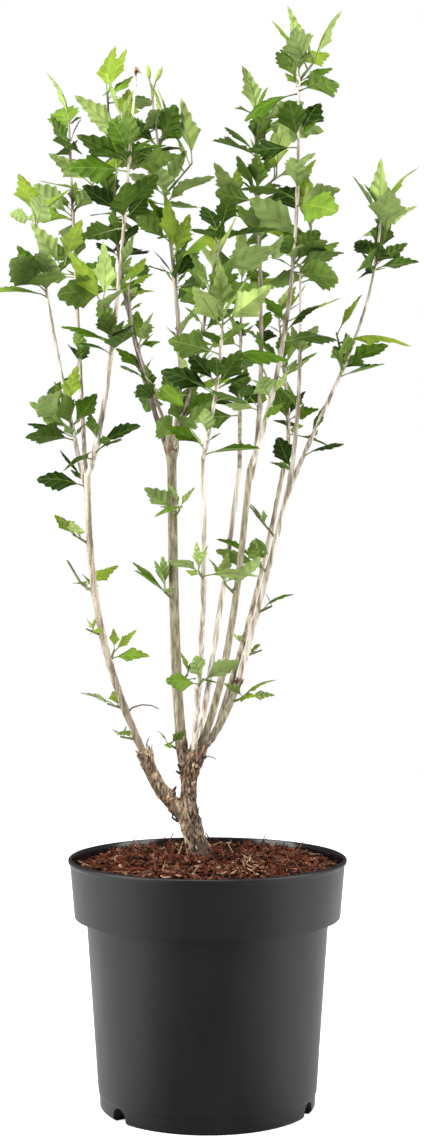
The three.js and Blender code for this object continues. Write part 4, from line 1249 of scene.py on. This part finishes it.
# %% Model a sliver
def model_sliver():
    """A tapering slab 1 long, wide and thick, its tips narrowed, as points and triangles."""
    bm = bmesh.new()
    bmesh.ops.create_cube(bm, size=1)
    uprights = [e for e in bm.edges if abs(e.verts[0].co.x - e.verts[1].co.x) > 0.5]
    bmesh.ops.subdivide_edges(bm, edges=uprights, cuts=1)
    tips = [v for v in bm.verts if abs(v.co.x) > 0.4]
    bmesh.ops.scale(bm, verts=tips, vec=(1, 0.4, 0.6))
    bmesh.ops.triangulate(bm, faces=bm.faces)
    bm.verts.index_update()
    points = np.array([v.co for v in bm.verts])
    triangles = np.array([[v.index for v in f.verts] for f in bm.faces])
    bm.free()
    return points, triangles


sliver_points, sliver_triangles = model_sliver()
print("a sliver's triangles:", len(sliver_triangles))


def place_sliver(gathered, centre, along, up, size, bend, slot):
    """One sliver, bent so that its ends lift."""
    along = unit(along)
    across = unit(np.cross(up, along))
    up = np.cross(along, across)
    shape = sliver_points * size
    shape[:, 2] += bend * size[0] * (2 * sliver_points[:, 0]) ** 2
    gathered.add(centre + shape @ np.array([along, across, up]), sliver_triangles, slot)


# %% Torn bark
def fibrous_bark(name, under, over, repeats, roughness, specular):
    """Torn or shredded bark: dull, in two tones that follow its fibres."""
    material, tree = new_material(name)
    fibres = patterned(tree, repeats, 0.35, 0.65)
    finish_material(tree, {
        "Base Color": coats(tree, under, (fibres, over)),
        "Roughness": roughness,
        "Specular IOR Level": specular,
    })
    return material


TORN = dict(repeats=500, roughness=0.9, specular=0.5)  # fibres 2 mm apart
torn_barks = [
    fibrous_bark("torn_rusty_bark", "#a58060", "#6b4932", **TORN),
    fibrous_bark("torn_dark_bark", "#4b3824", "#2a1b10", **TORN),
    fibrous_bark("torn_pale_bark", "#cfb597", "#957b5f", **TORN),
]
print("torn barks:", len(torn_barks))

# %% Flakes at the cuts
CUTS = [  # (limb, share of its length, spread in mm, flakes, the chance of each tone)
    ("trunk", 0.97, 7, 34, (0.35, 0.5, 0.15)), ("trunk", 0.76, 8, 26, (0.45, 0.15, 0.4)),
    ("trunk", 0.36, 6, 12, (0.4, 0.4, 0.2)), ("trunk", 0.12, 8, 18, (0.1, 0.3, 0.6)),
    ("left_bough", 0.96, 5, 20, (0.2, 0.3, 0.5)), ("left_bough", 0.3, 4, 12, (0.6, 0.3, 0.1)),
    ("right_outer_bough", 0.97, 4, 12, (0.3, 0.5, 0.2)), ("centre_bough", 0.98, 4, 14, (0.2, 0.5, 0.3)),
]
FLAKE_SIZES, FLAKE_BENDS = ((3, 7), (1.2, 2.6), (0.4, 0.8)), (0, 0.16)  # length, width, thickness in mm
FLAKE_SLANT = 0.22

flakes = Gathered()
for limb, share, reach, count, odds in CUTS:
    part, stem = LIMBS[limb], stems[limb]
    for _ in range(count):
        t = min(share + chance.normal(0, reach / stem.span), 1.0)
        heading = stem.heading(t)
        out = unit(np.cross(heading, chance.normal(size=3)))
        centre = stem.point(t) + out * (limb_radius(part, stem, t) + 0.1)
        size = np.array([chance.uniform(*limits) for limits in FLAKE_SIZES])
        way = heading + chance.normal(0, FLAKE_SLANT, 3) + out * 0.1
        bend = chance.uniform(*FLAKE_BENDS)
        place_sliver(flakes, centre, way, out, size, bend, int(chance.choice(3, p=odds)))
print("flakes:", len(flakes.points))

# %% Curled flakes and a dry husk
CURLED = [  # (middle x, y, z, the way it points as x, y, z, length, width, bend, tone), in mm
    (-22, -5, 279, -0.5, -0.1, 1, 9, 3.2, 0.25, 1), (-23, -6, 275, -0.9, 0, 0.6, 7, 2.6, 0.2, 1),
    (-21, -5, 272, -0.8, -0.2, -0.5, 6, 2.4, 0.15, 0), (-32, -9, 257, 0.3, -0.2, 1, 5, 1.7, 0.2, 2),
    (-30, -9.5, 260, -0.3, 0, 1, 5, 1.6, 0.15, 0), (-27, -9, 258, 0.2, 0, 1, 6, 2.8, 0.2, 1),
    (-30, -9, 254, 0.9, 0, 0.5, 5, 1.6, 0.2, 0), (-27, -8, 262, 0.5, 0, 0.7, 6, 2.6, 0.25, 1),
    (-33, -9, 253, 0.1, 0, 1, 4, 1.5, 0.2, 0), (-11, -5, 281, 0.3, 0, 1, 12, 2.6, 0.1, 0),
    (-10, -4, 273, 0.4, 0, 1, 9, 2.2, 0.15, 0), (-8, -4, 288, 0.8, 0, 0.7, 7, 2.4, 0.25, 1),
]
for x, y, z, way_x, way_y, way_z, length, width, bend, tone in CURLED:
    size = np.array([length, width, 0.7])
    place_sliver(flakes, np.array([x, y, z]), (way_x, way_y, way_z), (-0.3, -1, 0.1), size, bend, tone)

HUSK_SHOOT, HUSK_SCALES = "left_front_foliage", 11  # last year's dry seed husk on one dead tip
scatter = np.random.default_rng(4)
for _ in range(HUSK_SCALES):
    way = unit(scatter.normal(0, 1, 3) + (0.1, 0, 0.5))
    centre = stems[HUSK_SHOOT].tip + way * 2.2 - (0, 0, 2)
    size = np.array([scatter.uniform(3.5, 6), scatter.uniform(1.6, 2.6), 0.5])
    place_sliver(flakes, centre, way, scatter.normal(size=3), size, 0.15, int(scatter.choice([1, 2, 2])))
finish_piece("torn_bark_flakes", flakes.mesh("flakes"), torn_barks)

# %% [markdown]
# A few thin twigs died and stayed on: they dry up dark and curl.

# %% Dry twigs and hooks
DRY_TWIGS = [  # points of the middle line, then the radius at the root, in mm
    ([(-65.5, -8, 325), (-62, -9, 329), (-54, -10, 331.5), (-46, -10, 331), (-40, -9, 328)], 0.75),
    ([(-49, -5, 292), (-50, -6, 298), (-49.6, -7, 301), (-48, -7, 304)], 0.7),
    ([(-19, -2, 236), (-25, -3, 235), (-29, -4, 238), (-28.6, -4, 242)], 1.5),
    ([(-5, -2, 288), (0, -3, 288.5), (5, -3, 287.5), (7, -3, 286)], 0.5),
]
dry = Gathered()
for line, radius in DRY_TWIGS:
    dry.add(*tube(line, radius * np.linspace(1, 0.45, len(line)), 7), 1)
finish_piece("dry_twigs", dry.mesh("dry"), torn_barks, smooth_below=80)

# %% [markdown]
# ## The potting mix
# The pot is filled with dark peat and topped with shredded bark: reddish fibres and chips of all sizes, a
# few of them pale heartwood. The solid fill keeps its shape and gets a dark crumbly finish. The shreds on it
# are slivers, scattered flat with a slight tilt in four tones of bark.

# %% Mulch materials
SHREDDED = dict(repeats=700, roughness=0.92, specular=0.15)  # fibres 1.4 mm apart
CRUMBS = 380  # repeats a metre, for crumbs of 2.6 mm
shreds = [
    fibrous_bark("dark_bark_shred", "#150905", "#301509", **SHREDDED),
    fibrous_bark("red_bark_shred", "#3e1c0f", "#64311d", **SHREDDED),
    fibrous_bark("brown_bark_shred", "#513224", "#75503c", **SHREDDED),
    fibrous_bark("pale_wood_shred", "#8a6c54", "#b49a7e", **SHREDDED),
]
potting_mix, tree = new_material("moist_peat_and_bark_mix")
crumbs = patterned(tree, CRUMBS, 0.35, 0.65, detail=6.0)
relief = {"Height": patterned(tree, CRUMBS, detail=6.0), "Strength": 0.8, "Distance": 0.002}
finish_material(tree, {
    "Base Color": coats(tree, "#130a07", (crumbs, "#33190e")),
    "Roughness": 0.95,
    "Normal": add_node(tree, "ShaderNodeBump", relief).outputs[0],
})
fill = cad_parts["potting_soil"]
fill.data.materials.clear()
fill.data.materials.append(potting_mix)
print("mulch tones:", len(shreds))

# %% Scatter the shreds
SOIL_RADII, SOIL_HEIGHTS = (0, 16, 50.9, 90.6, 110.2), (206, 206, 204.7, 201.1, 195)
SHREDS, MULCH_RADIUS, TRUNK_FOOT = 4200, 107.5, 10.0  # how many, and radii in mm
LONG_SHARE, SHRED_ODDS, SHRED_BENDS = 0.22, (0.31, 0.43, 0.22, 0.04), (-0.1, 0.15)
LONG_SIZES, CHIP_SIZES, THICKNESSES = ((12, 26), (0.6, 1.2)), ((4, 13), (1.4, 5)), (0.5, 1.4)  # in mm
TILTS, SUNK, RAISED = (0.06, 0.32), 0.8, (0.2, 1.2)  # at the edge and inside it, and mm from the soil
HEAP, HEAP_SPACING, EDGE = 6, 17, 30  # mm: the heaps' height and spacing, and the ring where they fade


def mulch_height(x, y):
    """The soil's height, with low heaps on it."""
    away = math.hypot(x, y)
    fade = min(1.0, (MULCH_RADIUS - away) / EDGE)
    heap = max(0.0, noise.noise(Vector((x, y, 0)) / HEAP_SPACING)) * HEAP * fade
    return float(np.interp(away, SOIL_RADII, SOIL_HEIGHTS)) + heap


mulch = Gathered()
trunk_x = LIMBS["trunk"]["root"][0]
for _ in range(SHREDS):
    radius, turn = MULCH_RADIUS * math.sqrt(chance.random()), chance.uniform(0, math.tau)
    x, y = radius * math.cos(turn), radius * math.sin(turn)
    if math.hypot(x - trunk_x, y) < TRUNK_FOOT:
        continue
    lengths, widths = LONG_SIZES if chance.random() < LONG_SHARE else CHIP_SIZES
    length, width = chance.uniform(*lengths), chance.uniform(*widths)
    room = MULCH_RADIUS + 1.5 - radius
    size = np.array([min(length, 2 * room + 2), width, chance.uniform(*THICKNESSES)])
    inward = min(1.0, room / EDGE)
    tilt = between(*TILTS, inward)
    way = np.array([*chance.normal(size=2), chance.normal(0, tilt)])
    up = np.array([*chance.normal(0, tilt, 2), 1.0])
    tone = int(chance.choice(4, p=SHRED_ODDS))
    centre = np.array([x, y, mulch_height(x, y) + chance.uniform(-SUNK, between(*RAISED, inward))])
    place_sliver(mulch, centre, way, up, size, chance.uniform(*SHRED_BENDS), tone)
print("shreds:", len(mulch.points))

# %% [markdown]
# A tuft of dry rootlets lies on the mulch in front of the trunk, paler than the rest.

# %% A tuft of pale rootlets
TUFT, TUFT_STRANDS = (33, -42), 16  # its middle in mm
TUFT_SPREAD, STRAND_LENGTHS, STRAND_WIDTHS = (5, 11), (9, 24), (0.7, 1.2)  # in mm
for _ in range(TUFT_STRANDS):
    x, y = TUFT + chance.normal(0, TUFT_SPREAD)
    size = np.array([chance.uniform(*STRAND_LENGTHS), chance.uniform(*STRAND_WIDTHS), 0.7])
    way = np.array([0.35, -1, 0]) + chance.normal(0, (0.4, 0.4, 0.06))
    centre = np.array([x, y, mulch_height(x, y) + chance.uniform(1, 3)])
    place_sliver(mulch, centre, way, (0, 0, 1), size, chance.uniform(*SHRED_BENDS), 3)
finish_piece("bark_mulch", mulch.mesh("mulch"), shreds, smooth_below=30)
